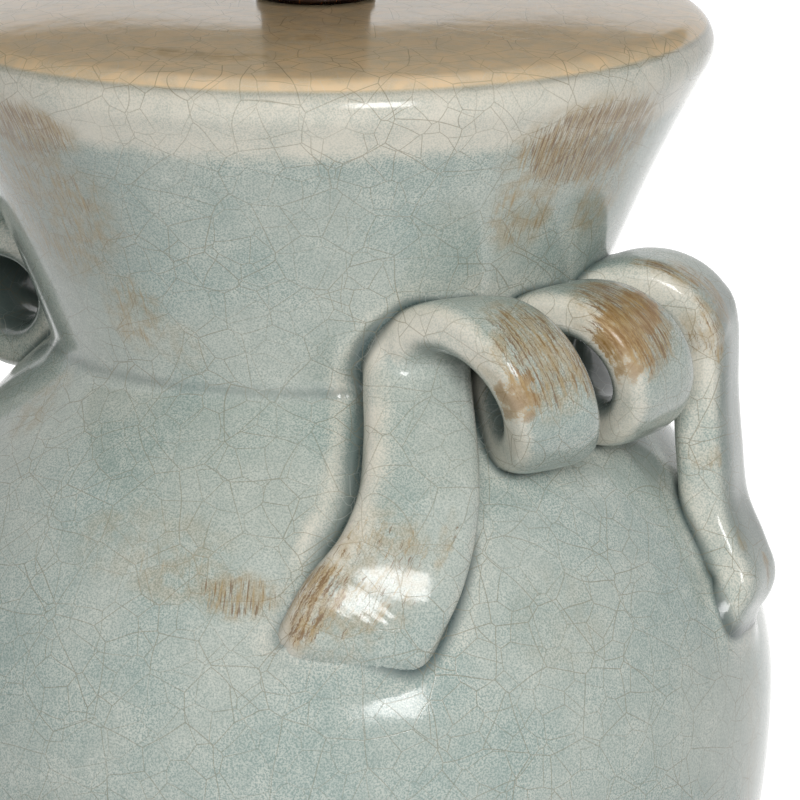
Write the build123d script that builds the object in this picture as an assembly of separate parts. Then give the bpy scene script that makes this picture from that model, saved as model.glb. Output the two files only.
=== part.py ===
from build123d import *

import math
import os

# Table lamp made from a glazed stoneware ginger jar with two coiled strap handles.
# Millimetres, +Z up. The origin is the centre of the felt under the foot, on the table top.
# The handles stand at +X and -X, the switch knob points at -Y and the cord leaves at +Y.

# ---------------------------------------------------------------- driving sizes

# Stoneware jar, outside
JAR_TOP = 385.4          # height of the rounded rim
RIM_RADIUS = 90.9        # widest radius of the flared collar
RIM_ROUND = 7.1          # rounding of the rim
DOME_RISE = 3.0          # the flat top swells this much towards the neck
SEAT_RADIUS = 17.0       # level land in the middle of the top, for the metal neck
FLARE_HOLLOW = 3.8       # how far the collar's side is pulled in
FLARE_TANGENT = 28.0     # degrees below level where the rim runs into the collar
CREASE_RADIUS = 60.2     # waist between the collar and the shoulder
CREASE_HEIGHT = 308.4
SHOULDER_LEAD = (16.5, -11.7)   # way out and down from the crease into the shoulder
SHOULDER_SWELL = 34.2    # the shoulder keeps the belly's width for this height
BELLY_RADIUS = 105.7
BELLY_HEIGHT = 228.3
BELLY_SWELL = 58.0       # the lower wall keeps the belly's width for this depth
ANKLE_RADIUS = 63.5      # narrowest place above the foot
ANKLE_HEIGHT = 21.0
ANKLE_LEAD = (8.5, 62.0) # way out and up from the ankle into the lower wall
FOOT_RADIUS = 68.0
FOOT_EDGE = 9.0          # height of the upright edge of the foot
FOOT_COVE = 0.4          # the cove over the foot starts this far outside the ankle
JAR_WALL = 7.0
WALL_POINTS = 8          # a wall's inner curve passes this many points after its first
FOOT_RING_WIDTH = 9.0
FOOT_RECESS = 10.5       # depth of the hollow under the floor
FLOOR_HOLE_RADIUS = 28.0

# Coiled strap handles, which lie in the crease
HANDLE_AZIMUTH = 47.0    # degrees round the jar are counted from 47 degrees before the handle's middle
COIL_REACH = 17.8        # from the crease out to the coil's middle
COIL_RISE = 4.2          # the coil's middle lies this far above the crease
COIL_RADIUS = 14.2       # of the strap's centre line
COIL_START = 24.4        # degrees round the jar where an even coil would start
COIL_PITCH = 20.2        # degrees round the jar for each turn
COIL_LEAD_IN = 5.4       # the first half turn leans back by this many degrees
COIL_CLIMB = 2.2         # the later turns rise by this much
COIL_FIRST = 15.0        # degrees of turn done where the strap leaves the inner leg ...
COIL_LAST = 900.0        # ... and where it goes over into the outer leg
COIL_STEP = 22.5
STRAP_HALF_WIDTH = 11.2
STRAP_FAN = 0.5          # the strap is wider by this outside the coil and narrower inside
STRAP_HALF_THICKNESS = 6.2
STRAP_ENTRY_SPREAD = 1.7 # the strap is this much wider where it comes from the inner leg
STRAP_FLAT = 1.7         # radius of its rounded edges falls short of half its thickness by this
# The inner leg, from its end inside the wall, where the clay is pressed in, up to the coil
INNER_LEG_DEGREES = (3.6, 5.4, 8.4, 11.8, 15.2, 17.6)
INNER_LEG_DEPTHS = (52.0, 45.5, 39.0, 31.5, 21.5, 11.0)  # below the crease
INNER_LEG_LIFTS = (-6.0, -1.2, 1.4, 3.3, 4.7, 5.8)       # of the strap's middle above the wall
INNER_LEG_HALF_WIDTHS = (14.5, 16.0, 15.6, 14.8, 13.7, 12.9)
INNER_LEG_HALF_THICKNESSES = (3.6, 4.6, 5.1, 5.6, 6.0, 6.2)
# The outer leg, from the coil down to its pinched end
OUTER_LEG_DEGREES = (75.0, 74.7, 74.4, 73.4, 72.2, 71.0, 70.0)
OUTER_LEG_DEPTHS = (7.0, 20.0, 33.0, 43.0, 49.0, 54.5, 60.5)
OUTER_LEG_LIFTS = (23.4, 12.3, 4.6, 3.6, 3.4, -0.2, -5.0)
OUTER_LEG_HALF_WIDTHS = (12.2, 12.6, 12.6, 12.2, 11.8, 11.2, 10.2)
OUTER_LEG_HALF_THICKNESSES = (6.4, 6.5, 6.4, 6.2, 6.0, 4.9, 3.8)

# Fittings under the foot
FELT_THICKNESS = 1.5
FELT_MARGIN = 1.5        # the felt stops short of the foot's edge
PLATE_RADIUS = 41.0
PLATE_THICKNESS = 2.0
WASHER_RADIUS = 9.5
WASHER_THICKNESS = 1.2
NUT_ACROSS_FLATS = 15.9
NUT_HEIGHT = 4.4

# Lamp pipe, threaded all along
PIPE_RADIUS = 4.95
PIPE_BORE_RADIUS = 3.3
PIPE_FIT = 0.15          # every hole that the pipe passes is this much wider
PIPE_HOLE_SLACK = 0.8    # the hole through the stoneware is this much wider
PIPE_STANDOUT = 1.4      # pipe below the nut

# Cord outlet at the back
OUTLET_HEIGHT = 31.0
OUTLET_BORE_RADIUS = 3.2
OUTLET_BODY_RADIUS = 5.2
OUTLET_FLANGE_RADIUS = 7.6
OUTLET_FLANGE = 2.4
OUTLET_FIT = 0.1
OUTLET_SEAT = 62.2       # distance from the axis of the flat that the flange lies on
OUTLET_LENGTH = 12.0     # of the part behind the flange

# Bronze neck between the jar and the socket
NECK_RADIUS = 12.5
NECK_WALL = 1.2
NECK_LENGTH = 58.0
RING_RADIUS = 13.5
RING_HEIGHT = 3.4
RING_ROUND = 0.9
BUSH_HEIGHT = 7.0
CAP_RADIUS = 15.0
CAP_HEIGHT = 4.0
CAP_ROUND = 1.2

# Harp saddle and its two sleeves
SADDLE_THICKNESS = 1.3
SADDLE_WIDTH = 12.0
SADDLE_HALF_SPAN = 27.0  # to the outer face of the upright arms
SADDLE_SHOULDER = 7.0    # the wide part of the arm ends here
TAB_HEIGHT = 13.0
TAB_WIDTH = 5.0
SLEEVE_BORE_RADIUS = 3.75
SLEEVE_WALL = 0.9
SLEEVE_HEIGHT = 12.5
SLIP = 0.15              # gap between a moving piece and what it rests on

# Harp
HARP_WIRE_RADIUS = 1.5
HARP_HEIGHT = 229.0      # from under the saddle to the seat of the shade
HARP_STRAIGHT = 55.0     # height of the legs' first corner, clear of the sleeves' travel
HARP_HALF_WIDTH = 62.0
HARP_WAIST = 95.0        # height of the widest place above the saddle
HARP_CHEST = 150.0       # height where the sides lean in
HARP_TOP_HALF = 16.0     # half of the level top
HARP_BENDS = (50.0, 70.0, 90.0, 18.0)
EYE_RADIUS = 6.0
EYE_HOLE_RADIUS = 2.5
STUD_RADIUS = 3.17
STUD_LENGTH = 15.0
STUD_FLANGE_RADIUS = 8.0
STUD_FLANGE = 2.0
RIVET_RADIUS = 4.4
RIVET_HEAD = 1.4
RIVET_FIT = 0.1

# Socket
SOCKET_RADIUS = 16.6
SOCKET_METAL = 0.7
SOCKET_HUB_RADIUS = 8.0
SOCKET_HUB_HEIGHT = 7.0
SOCKET_CAP_HEIGHT = 22.0
SOCKET_LAP = 6.0         # the shell is pushed this far into the cap
SHELL_HEIGHT = 44.0
SHELL_LIP = 1.4          # the mouth rolls out by this much
LINER_THICKNESS = 0.8
LINER_FIT = 0.1
INSULATOR_HEIGHT = 22.0
SCREW_SHELL_RADIUS = 13.75
SCREW_SHELL_METAL = 0.4
SCREW_SHELL_HEIGHT = 19.0
CONTACT_RADIUS = 4.0
CONTACT_HEIGHT = 1.5

# Switch
STEM_RADIUS = 1.8
STEM_DEPTH = 5.0         # the stem runs this far into the insulator
STEM_FIT = 0.08
STEM_HEIGHT = 11.0       # above the bottom of the insulator
STEM_WINDOW_RADIUS = 3.2 # hole in the shell and in its paper sleeve
KNOB_RADIUS = 5.6
KNOB_LENGTH = 15.0
KNOB_START = 18.4        # from the lamp's axis
KNOB_FLUTES = 12
KNOB_FLUTE_RADIUS = 0.9
KNOB_ROUND = 1.0

# Bulb
BULB_BASE_RADIUS = 13.1
BULB_BASE_LENGTH = 22.0
BULB_BASE_METAL = 0.5
BULB_PLUG_RADIUS = 9.0   # black glass under the screw base
BULB_PLUG_HEIGHT = 3.0
BULB_TIP_RADIUS = 4.6
BULB_TIP_HEIGHT = 2.6
BULB_NECK_FIT = 0.1
BULB_LAP = 4.0           # glass inside the base
BULB_GLASS = 1.0
BULB_RADIUS = 30.0
BULB_SHOULDER = 35.0     # degrees of the ball kept below its middle
BULB_BLEND = 14.0        # reach of the curve between neck and ball
BULB_LENGTH = 82.0       # of the glass above the base

# Shade
SHADE_BOTTOM_RADIUS = 203.0
SHADE_TOP_RADIUS = 178.0
SHADE_HEIGHT = 260.0
SHADE_DROP = 20.0        # the fitter lies this far below the top edge
SHADE_LINEN = 0.9
SHADE_LINER = 0.6
HOOP_WIRE_RADIUS = 1.5
HOOP_INSET = 2.2         # from the shade's edge to the middle of the hoop
HOOP_FIT = 0.1
SPOKES = 3
SPOKE_RADIUS = 1.4
SPOKE_BITE = 0.3         # a spoke runs this far past the middle of the hoop's wire
SPOKE_LEVEL = 34.0       # the spokes run level out to this radius
SPOKE_BEND = 22.0
FITTER_RADIUS = 14.0
FITTER_HOLE_RADIUS = 5.5
FITTER_THICKNESS = 2.0
TRIM_HEIGHT = 9.0
TRIM_THICKNESS = 0.7

# Finial
FINIAL_BASE_RADIUS = 7.4
FINIAL_BASE_HEIGHT = 3.0
FINIAL_NECK_RADIUS = 5.0
FINIAL_BALL_RADIUS = 10.5
FINIAL_BALL_HEIGHT = 19.0
FINIAL_TIP_RADIUS = 2.4
FINIAL_HEIGHT = 34.0
FINIAL_FIT = 0.1
FINIAL_BORE_SLACK = 0.8

# ---------------------------------------------------------------- places that follow

FLOOR_UNDERSIDE = FELT_THICKNESS + FOOT_RECESS
FLOOR_TOP = FLOOR_UNDERSIDE + JAR_WALL
SEAT_HEIGHT = JAR_TOP + DOME_RISE
COIL_ORBIT = CREASE_RADIUS + COIL_REACH
COIL_HEIGHT = CREASE_HEIGHT + COIL_RISE
PLATE_BOTTOM = FLOOR_UNDERSIDE - PLATE_THICKNESS
WASHER_BOTTOM = PLATE_BOTTOM - WASHER_THICKNESS
NUT_BOTTOM = WASHER_BOTTOM - NUT_HEIGHT
PIPE_HOLE_RADIUS = PIPE_RADIUS + PIPE_FIT
NECK_BOTTOM = SEAT_HEIGHT + RING_HEIGHT
NECK_TOP = NECK_BOTTOM + NECK_LENGTH
SADDLE_BOTTOM = NECK_TOP + CAP_HEIGHT
SADDLE_TOP = SADDLE_BOTTOM + SADDLE_THICKNESS
SLEEVE_SEAT = SADDLE_TOP + SADDLE_SHOULDER
SLEEVE_CENTRE = SADDLE_HALF_SPAN - (SADDLE_THICKNESS + 2 * HARP_WIRE_RADIUS) / 2
HARP_LEG = SADDLE_HALF_SPAN - SADDLE_THICKNESS - HARP_WIRE_RADIUS
HARP_SEAT = SADDLE_BOTTOM + HARP_HEIGHT
HARP_TOP = HARP_SEAT - STUD_FLANGE - HARP_WIRE_RADIUS
SOCKET_CAP_TOP = SADDLE_TOP + SOCKET_CAP_HEIGHT
LINER_OUTER = SOCKET_RADIUS - SOCKET_METAL - LINER_FIT
INSULATOR_RADIUS = LINER_OUTER - LINER_THICKNESS - LINER_FIT
SHELL_BOTTOM = SOCKET_CAP_TOP - SOCKET_LAP
SHELL_TOP = SHELL_BOTTOM + SHELL_HEIGHT
INSULATOR_TOP = SHELL_BOTTOM + INSULATOR_HEIGHT
STEM_AXIS = SHELL_BOTTOM + STEM_HEIGHT
STEM_END = STEM_DEPTH - INSULATOR_RADIUS
BULB_BOTTOM = INSULATOR_TOP + CONTACT_HEIGHT + SLIP
BULB_BASE_BOTTOM = BULB_BOTTOM + BULB_TIP_HEIGHT
GLASS_BOTTOM = BULB_BASE_BOTTOM + BULB_BASE_LENGTH
FITTER_BOTTOM = HARP_SEAT + SLIP
SHADE_TOP = FITTER_BOTTOM + SHADE_DROP
SHADE_BOTTOM = SHADE_TOP - SHADE_HEIGHT
FINIAL_BOTTOM = FITTER_BOTTOM + FITTER_THICKNESS + SLIP


# ---------------------------------------------------------------- helpers

def turned(edges):
    """A solid of revolution from a closed outline in (distance from the axis, height)."""
    return revolve(Plane.XZ * make_face(edges), Axis.Z)


def turned_points(*points):
    """A solid of revolution whose outline runs straight from point to point."""
    return turned(Polyline(*points, close=True).edges())


def rod(radius, bottom, top):
    return Pos(0, 0, bottom) * Cylinder(radius, top - bottom, align=(Align.CENTER, Align.CENTER, Align.MIN))


def tube(outer, inner, bottom, top):
    return turned_points((inner, bottom), (outer, bottom), (outer, top), (inner, top))


def bar_along_y(radius, start, end, height):
    """A round bar along Y at the given height."""
    return Pos(0, (start + end) / 2, height) * Rot(90, 0, 0) * Cylinder(radius, abs(end - start))


def twin(shape):
    """The same piece on the other side of the lamp."""
    return Rot(0, 0, 180) * shape


# ---------------------------------------------------------------- stoneware jar

def jar_outline():
    """The outer wall from the foot to the seat on top, in (distance from the axis, height)."""
    foot_top = (FOOT_RADIUS, FELT_THICKNESS + FOOT_EDGE)
    ankle = (ANKLE_RADIUS, ANKLE_HEIGHT)
    belly = (BELLY_RADIUS, BELLY_HEIGHT)
    crease = (CREASE_RADIUS, CREASE_HEIGHT)
    rim_centre = (RIM_RADIUS - RIM_ROUND, JAR_TOP - RIM_ROUND)
    lean = math.radians(FLARE_TANGENT)
    rim_edge = (rim_centre[0] + RIM_ROUND * math.cos(lean), rim_centre[1] - RIM_ROUND * math.sin(lean))
    rim_top = (rim_centre[0], JAR_TOP)
    flare_middle = ((crease[0] + rim_edge[0]) / 2 - FLARE_HOLLOW, (crease[1] + rim_edge[1]) / 2)
    seat_edge = (SEAT_RADIUS, SEAT_HEIGHT)
    dome_middle = (rim_centre[0] + SEAT_RADIUS) / 2
    ankle_lead = (ANKLE_RADIUS + ANKLE_LEAD[0], ANKLE_HEIGHT + ANKLE_LEAD[1])
    shoulder_lead = (CREASE_RADIUS + SHOULDER_LEAD[0], CREASE_HEIGHT + SHOULDER_LEAD[1])
    return {
        "foot": Line((FOOT_RADIUS, FELT_THICKNESS), foot_top),
        "cove": Bezier(foot_top, (ANKLE_RADIUS + FOOT_COVE, foot_top[1] + FOOT_COVE), ankle),
        "lower": Bezier(ankle, ankle_lead, (BELLY_RADIUS, BELLY_HEIGHT - BELLY_SWELL), belly),
        "shoulder": Bezier(belly, (BELLY_RADIUS, BELLY_HEIGHT + SHOULDER_SWELL), shoulder_lead, crease),
        "flare": Bezier(crease, flare_middle, rim_edge),
        "rim": CenterArc(rim_centre, RIM_ROUND, -FLARE_TANGENT, 90 + FLARE_TANGENT),
        "dome": Bezier(rim_top, (dome_middle, JAR_TOP), (dome_middle, SEAT_HEIGHT), seat_edge),
        "seat": Line(seat_edge, (0, SEAT_HEIGHT)),
    }


JAR_OUTLINE = jar_outline()


def jar_section():
    """Half of the filled section, from the axis out to the glaze."""
    back = Line((0, SEAT_HEIGHT), (0, FELT_THICKNESS))
    base = Line((0, FELT_THICKNESS), (FOOT_RADIUS, FELT_THICKNESS))
    return make_face(list(JAR_OUTLINE.values()) + [back, base])


def jar_filled():
    """The jar without its hollow, which the handles are pressed against."""
    return revolve(Plane.XZ * jar_section(), Axis.Z)


def inside_of(edge, thickness):
    """A smooth curve on the left of an edge, at a steady distance from it."""
    points = []
    for index in range(WALL_POINTS + 1):
        run = edge % (index / WALL_POINTS)
        points.append((edge @ (index / WALL_POINTS)) + Vector(-run.Y, run.X) * thickness)
    return Spline(*points, tangents=[edge % 0, edge % 1])


def jar_inside():
    """The inner face of the wall from the floor to the top, rounded behind the crease."""
    parts = ("lower", "shoulder", "flare")
    lower, shoulder, flare = (inside_of(JAR_OUTLINE[part], JAR_WALL) for part in parts)
    behind_crease = RadiusArc(shoulder @ 1, flare @ 0, JAR_WALL)
    return [lower, shoulder, behind_crease, flare]


def jar():
    """One thrown wall: foot ring, hollow floor, belly, collar and domed top."""
    inside = jar_inside()
    low_end, high_end = inside[0] @ 0, inside[-1] @ 1
    hole = PIPE_RADIUS + PIPE_HOLE_SLACK
    ring_inside = FOOT_RADIUS - FOOT_RING_WIDTH
    top = Polyline(
        (SEAT_RADIUS, SEAT_HEIGHT), (hole, SEAT_HEIGHT), (hole, SEAT_HEIGHT - JAR_WALL),
        (SEAT_RADIUS, SEAT_HEIGHT - JAR_WALL), high_end,
    )
    bottom = Polyline(
        low_end, (low_end.X, FLOOR_TOP),
        (FLOOR_HOLE_RADIUS, FLOOR_TOP), (FLOOR_HOLE_RADIUS, FLOOR_UNDERSIDE),
        (ring_inside, FLOOR_UNDERSIDE), (ring_inside, FELT_THICKNESS), (FOOT_RADIUS, FELT_THICKNESS),
    )
    outside = [edge for part, edge in JAR_OUTLINE.items() if part != "seat"]
    body = turned(outside + [*top.edges(), *inside, *bottom.edges()])
    body -= bar_along_y(OUTLET_BODY_RADIUS + OUTLET_FIT, 0, FOOT_RADIUS, OUTLET_HEIGHT)
    flange_seat = OUTLET_FLANGE_RADIUS + OUTLET_FIT
    return body - bar_along_y(flange_seat, OUTLET_SEAT, 2 * FOOT_RADIUS, OUTLET_HEIGHT)


# ---------------------------------------------------------------- coiled handles

def shoulder_radius(height):
    """Radius of the jar's shoulder at a height, found by halving along its outline."""
    low, high = 0.0, 1.0
    for _ in range(30):
        middle = (low + high) / 2
        if (JAR_OUTLINE["shoulder"] @ middle).Y < height:
            low = middle
        else:
            high = middle
    return (JAR_OUTLINE["shoulder"] @ low).X


def leg_stations(degrees, depths, lifts, half_widths, half_thicknesses):
    """Sections of a leg over the shoulder: azimuth, height, distance, half width and thickness."""
    heights = [CREASE_HEIGHT - depth for depth in depths]
    distances = [shoulder_radius(height) + lift for height, lift in zip(heights, lifts)]
    return list(zip(degrees, heights, distances, half_widths, half_thicknesses))


def inner_leg():
    return leg_stations(
        INNER_LEG_DEGREES, INNER_LEG_DEPTHS, INNER_LEG_LIFTS,
        INNER_LEG_HALF_WIDTHS, INNER_LEG_HALF_THICKNESSES,
    )


def outer_leg():
    return leg_stations(
        OUTER_LEG_DEGREES, OUTER_LEG_DEPTHS, OUTER_LEG_LIFTS,
        OUTER_LEG_HALF_WIDTHS, OUTER_LEG_HALF_THICKNESSES,
    )


def coil_stations():
    """Sections of the two and a half turns, which wind from the jar up, over and outwards."""
    found = []
    steps = round((COIL_LAST - COIL_FIRST) / COIL_STEP)
    for index in range(steps + 1):
        done = COIL_FIRST + (COIL_LAST - COIL_FIRST) * index / steps
        angle = math.radians(180 - done)
        lead_in = max(0.0, 1 - done / 180)
        azimuth = COIL_START + COIL_PITCH * done / 360 - COIL_LEAD_IN * lead_in ** 2
        climb = COIL_CLIMB * max(0.0, 2 * done / COIL_LAST - 1)
        height = COIL_HEIGHT + COIL_RADIUS * math.sin(angle) + climb
        distance = COIL_ORBIT + COIL_RADIUS * math.cos(angle)
        half_width = STRAP_HALF_WIDTH + STRAP_FAN * math.cos(angle) + STRAP_ENTRY_SPREAD * lead_in
        found.append((azimuth, height, distance, half_width, STRAP_HALF_THICKNESS))
    return found


def handle_planes():
    """A plane across the strap at each station, X along its width and Z along its run."""
    stations = inner_leg() + coil_stations() + outer_leg()
    centres = []
    for azimuth, height, distance, _, _ in stations:
        turn = math.radians(azimuth - HANDLE_AZIMUTH)
        centres.append(Vector(distance * math.cos(turn), distance * math.sin(turn), height))
    planes = []
    for index, centre in enumerate(centres):
        before = centres[max(index - 1, 0)]
        after = centres[min(index + 1, len(centres) - 1)]
        run = (after - before).normalized()
        round_the_jar = Vector(-centre.Y, centre.X, 0).normalized()
        across = round_the_jar - run * round_the_jar.dot(run)
        planes.append(Plane(origin=centre, x_dir=across, z_dir=run))
    return list(zip(planes, stations))


def strap_section(half_width, half_thickness):
    """A strap's section: two flat arcs for its faces and two round arcs for its edges."""
    edge = half_thickness - STRAP_FLAT
    side = half_width - edge
    face = (half_width ** 2 + half_thickness ** 2 - 2 * half_width * edge) / (2 * (half_thickness - edge))
    sink = face - half_thickness
    half_face = math.degrees(math.atan2(side, sink))
    half_edge = 90 - half_face
    return make_face([
        CenterArc((side, 0), edge, -half_edge, 2 * half_edge),
        CenterArc((0, -sink), face, half_edge, 2 * half_face),
        CenterArc((-side, 0), edge, 180 - half_edge, 2 * half_edge),
        CenterArc((0, sink), face, 180 + half_edge, 2 * half_face),
    ])


def least_coil_gap(placed):
    """Least distance between the strap's edges on one turn and the next."""
    per_turn = round(360 / COIL_STEP)
    first = len(INNER_LEG_DEPTHS)
    least = math.inf
    for index in range(first, len(placed) - per_turn):
        plane, station = placed[index]
        front = plane.from_local_coords(Vector(station[3], 0, 0))
        for later in range(index + per_turn - 2, min(index + per_turn + 3, len(placed))):
            other, size = placed[later]
            near = other.from_local_coords(Vector(-size[3], 0, 0))
            least = min(least, (front - near).length)
    return least


def handle():
    placed = handle_planes()
    sections = [plane * strap_section(station[3], station[4]) for plane, station in placed]
    print(f"least gap between the turns of a handle: {least_coil_gap(placed):.2f} mm")
    return loft(sections) - jar_filled()


# ---------------------------------------------------------------- under the foot

def felt_pad():
    return rod(FOOT_RADIUS - FELT_MARGIN, 0, FELT_THICKNESS)


def base_plate():
    return tube(PLATE_RADIUS, PIPE_HOLE_RADIUS, PLATE_BOTTOM, FLOOR_UNDERSIDE)


def lock_washer():
    return tube(WASHER_RADIUS, PIPE_HOLE_RADIUS, WASHER_BOTTOM, PLATE_BOTTOM)


def hex_nut():
    outline = RegularPolygon(NUT_ACROSS_FLATS / 2, 6, major_radius=False) - Circle(PIPE_HOLE_RADIUS)
    return Pos(0, 0, NUT_BOTTOM) * extrude(outline, NUT_HEIGHT)


def lamp_pipe():
    return tube(PIPE_RADIUS, PIPE_BORE_RADIUS, NUT_BOTTOM - PIPE_STANDOUT, SADDLE_TOP + SOCKET_HUB_HEIGHT)


def cord_outlet():
    """A bush through the back wall, its bore level and square to the wall."""
    body = bar_along_y(OUTLET_BODY_RADIUS, OUTLET_SEAT - OUTLET_LENGTH, OUTLET_SEAT, OUTLET_HEIGHT)
    body += bar_along_y(OUTLET_FLANGE_RADIUS, OUTLET_SEAT, OUTLET_SEAT + OUTLET_FLANGE, OUTLET_HEIGHT)
    return body - bar_along_y(OUTLET_BORE_RADIUS, 0, 2 * FOOT_RADIUS, OUTLET_HEIGHT)


# ---------------------------------------------------------------- bronze neck

def neck_ring():
    ring = tube(RING_RADIUS, PIPE_HOLE_RADIUS, SEAT_HEIGHT, NECK_BOTTOM)
    outer = ring.edges().filter_by(GeomType.CIRCLE).group_by(SortBy.RADIUS)[-1]
    return fillet(outer, RING_ROUND)


def neck_tube():
    return tube(NECK_RADIUS, NECK_RADIUS - NECK_WALL, NECK_BOTTOM, NECK_TOP)


def neck_bush(bottom):
    """A plug in the end of the neck tube, which holds it round the pipe."""
    return tube(NECK_RADIUS - NECK_WALL - PIPE_FIT, PIPE_HOLE_RADIUS, bottom, bottom + BUSH_HEIGHT)


def neck_cap():
    cap = tube(CAP_RADIUS, PIPE_HOLE_RADIUS, NECK_TOP, SADDLE_BOTTOM)
    outer = cap.edges().filter_by(GeomType.CIRCLE).group_by(SortBy.RADIUS)[-1]
    return fillet(outer, CAP_ROUND)


# ---------------------------------------------------------------- harp

def harp_saddle():
    arm = SADDLE_HALF_SPAN - SADDLE_THICKNESS / 2
    strip = Box(2 * SADDLE_HALF_SPAN, SADDLE_WIDTH, SADDLE_THICKNESS)
    strip = Pos(0, 0, SADDLE_BOTTOM + SADDLE_THICKNESS / 2) * strip
    upright = (Align.CENTER, Align.CENTER, Align.MIN)
    for side in (-1, 1):
        wide = Box(SADDLE_THICKNESS, SADDLE_WIDTH, SADDLE_SHOULDER, align=upright)
        tab = Box(SADDLE_THICKNESS, TAB_WIDTH, TAB_HEIGHT, align=upright)
        strip += Pos(side * arm, 0, SADDLE_TOP) * wide
        strip += Pos(side * arm, 0, SLEEVE_SEAT) * tab
    return strip - rod(PIPE_HOLE_RADIUS, SADDLE_BOTTOM, SADDLE_TOP)


def harp_sleeve(side):
    bottom = SLEEVE_SEAT + SLIP
    sleeve = tube(SLEEVE_BORE_RADIUS + SLEEVE_WALL, SLEEVE_BORE_RADIUS, bottom, bottom + SLEEVE_HEIGHT)
    return Pos(side * SLEEVE_CENTRE, 0, 0) * sleeve


def harp():
    """One bent wire from leg to leg, flattened to an eye at the top."""
    side = [
        (HARP_LEG, SADDLE_TOP),
        (HARP_LEG, SADDLE_TOP + HARP_STRAIGHT),
        (HARP_HALF_WIDTH, SADDLE_BOTTOM + HARP_WAIST),
        (HARP_HALF_WIDTH, SADDLE_BOTTOM + HARP_CHEST),
        (HARP_TOP_HALF, HARP_TOP),
    ]
    corners = [(x, 0, z) for x, z in side] + [(-x, 0, z) for x, z in reversed(side)]
    path = FilletPolyline(*corners, radius=list(HARP_BENDS) + list(reversed(HARP_BENDS)))
    wire = sweep(Plane(origin=path @ 0, z_dir=path % 0) * Circle(HARP_WIRE_RADIUS), path)
    eye = rod(EYE_RADIUS, HARP_TOP - HARP_WIRE_RADIUS, HARP_TOP + HARP_WIRE_RADIUS)
    return wire + eye - rod(EYE_HOLE_RADIUS, HARP_TOP - EYE_RADIUS, HARP_TOP + EYE_RADIUS)


def harp_stud():
    """The riveted stud that carries the shade: rivet head, shank, flange and thread."""
    eye_bottom = HARP_TOP - HARP_WIRE_RADIUS
    eye_top = HARP_TOP + HARP_WIRE_RADIUS
    shank = EYE_HOLE_RADIUS - RIVET_FIT
    return turned_points(
        (0, eye_bottom - RIVET_HEAD), (RIVET_RADIUS, eye_bottom - RIVET_HEAD), (RIVET_RADIUS, eye_bottom),
        (shank, eye_bottom), (shank, eye_top),
        (STUD_FLANGE_RADIUS, eye_top), (STUD_FLANGE_RADIUS, HARP_SEAT),
        (STUD_RADIUS, HARP_SEAT), (STUD_RADIUS, HARP_SEAT + STUD_LENGTH), (0, HARP_SEAT + STUD_LENGTH),
    )


# ---------------------------------------------------------------- socket and switch

def socket_cap():
    """Spun cap: a hub round the pipe, a bowl, and an upright rim that grips the shell."""
    inner = SOCKET_RADIUS + LINER_FIT
    outer = inner + SOCKET_METAL
    hub_top = SADDLE_TOP + SOCKET_HUB_HEIGHT
    hub_edge = (SOCKET_HUB_RADIUS, hub_top - SOCKET_METAL)
    hub_inside = (SOCKET_HUB_RADIUS - SOCKET_METAL, hub_top)
    bowl_outside = RadiusArc(hub_edge, (outer, SHELL_BOTTOM), SOCKET_RADIUS)
    bowl_inside = RadiusArc((inner, SHELL_BOTTOM), hub_inside, -SOCKET_RADIUS)
    return turned([
        Line((PIPE_HOLE_RADIUS, hub_top), (PIPE_HOLE_RADIUS, SADDLE_TOP)),
        Line((PIPE_HOLE_RADIUS, SADDLE_TOP), (SOCKET_HUB_RADIUS, SADDLE_TOP)),
        Line((SOCKET_HUB_RADIUS, SADDLE_TOP), hub_edge),
        bowl_outside,
        Line((outer, SHELL_BOTTOM), (outer, SOCKET_CAP_TOP)),
        Line((outer, SOCKET_CAP_TOP), (inner, SOCKET_CAP_TOP)),
        Line((inner, SOCKET_CAP_TOP), (inner, SHELL_BOTTOM)),
        bowl_inside,
        Line(hub_inside, (PIPE_HOLE_RADIUS, hub_top)),
    ])


def stem_window():
    return bar_along_y(STEM_WINDOW_RADIUS, 0, -2 * SOCKET_RADIUS, STEM_AXIS)


def socket_shell():
    """A tube whose mouth is rolled outwards."""
    inner = SOCKET_RADIUS - SOCKET_METAL
    lip_start = SHELL_TOP - SHELL_LIP
    body = turned([
        Line((inner, SHELL_BOTTOM), (SOCKET_RADIUS, SHELL_BOTTOM)),
        Line((SOCKET_RADIUS, SHELL_BOTTOM), (SOCKET_RADIUS, lip_start)),
        CenterArc((SOCKET_RADIUS, SHELL_TOP), SHELL_LIP, -90, 90),
        Line((SOCKET_RADIUS + SHELL_LIP, SHELL_TOP), (inner, SHELL_TOP)),
        Line((inner, SHELL_TOP), (inner, SHELL_BOTTOM)),
    ])
    return body - stem_window()


def socket_liner():
    liner = tube(LINER_OUTER, LINER_OUTER - LINER_THICKNESS, SHELL_BOTTOM, SHELL_TOP - SHELL_LIP)
    return liner - stem_window()


def socket_insulator():
    body = rod(INSULATOR_RADIUS, SHELL_BOTTOM, INSULATOR_TOP)
    return body - bar_along_y(STEM_RADIUS + STEM_FIT, STEM_END, -2 * SOCKET_RADIUS, STEM_AXIS)


def screw_shell():
    inner = SCREW_SHELL_RADIUS - SCREW_SHELL_METAL
    return tube(SCREW_SHELL_RADIUS, inner, INSULATOR_TOP, INSULATOR_TOP + SCREW_SHELL_HEIGHT)


def centre_contact():
    return rod(CONTACT_RADIUS, INSULATOR_TOP, INSULATOR_TOP + CONTACT_HEIGHT)


def switch_stem():
    return bar_along_y(STEM_RADIUS, STEM_END - STEM_FIT, -KNOB_START - KNOB_LENGTH / 2, STEM_AXIS)


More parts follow.
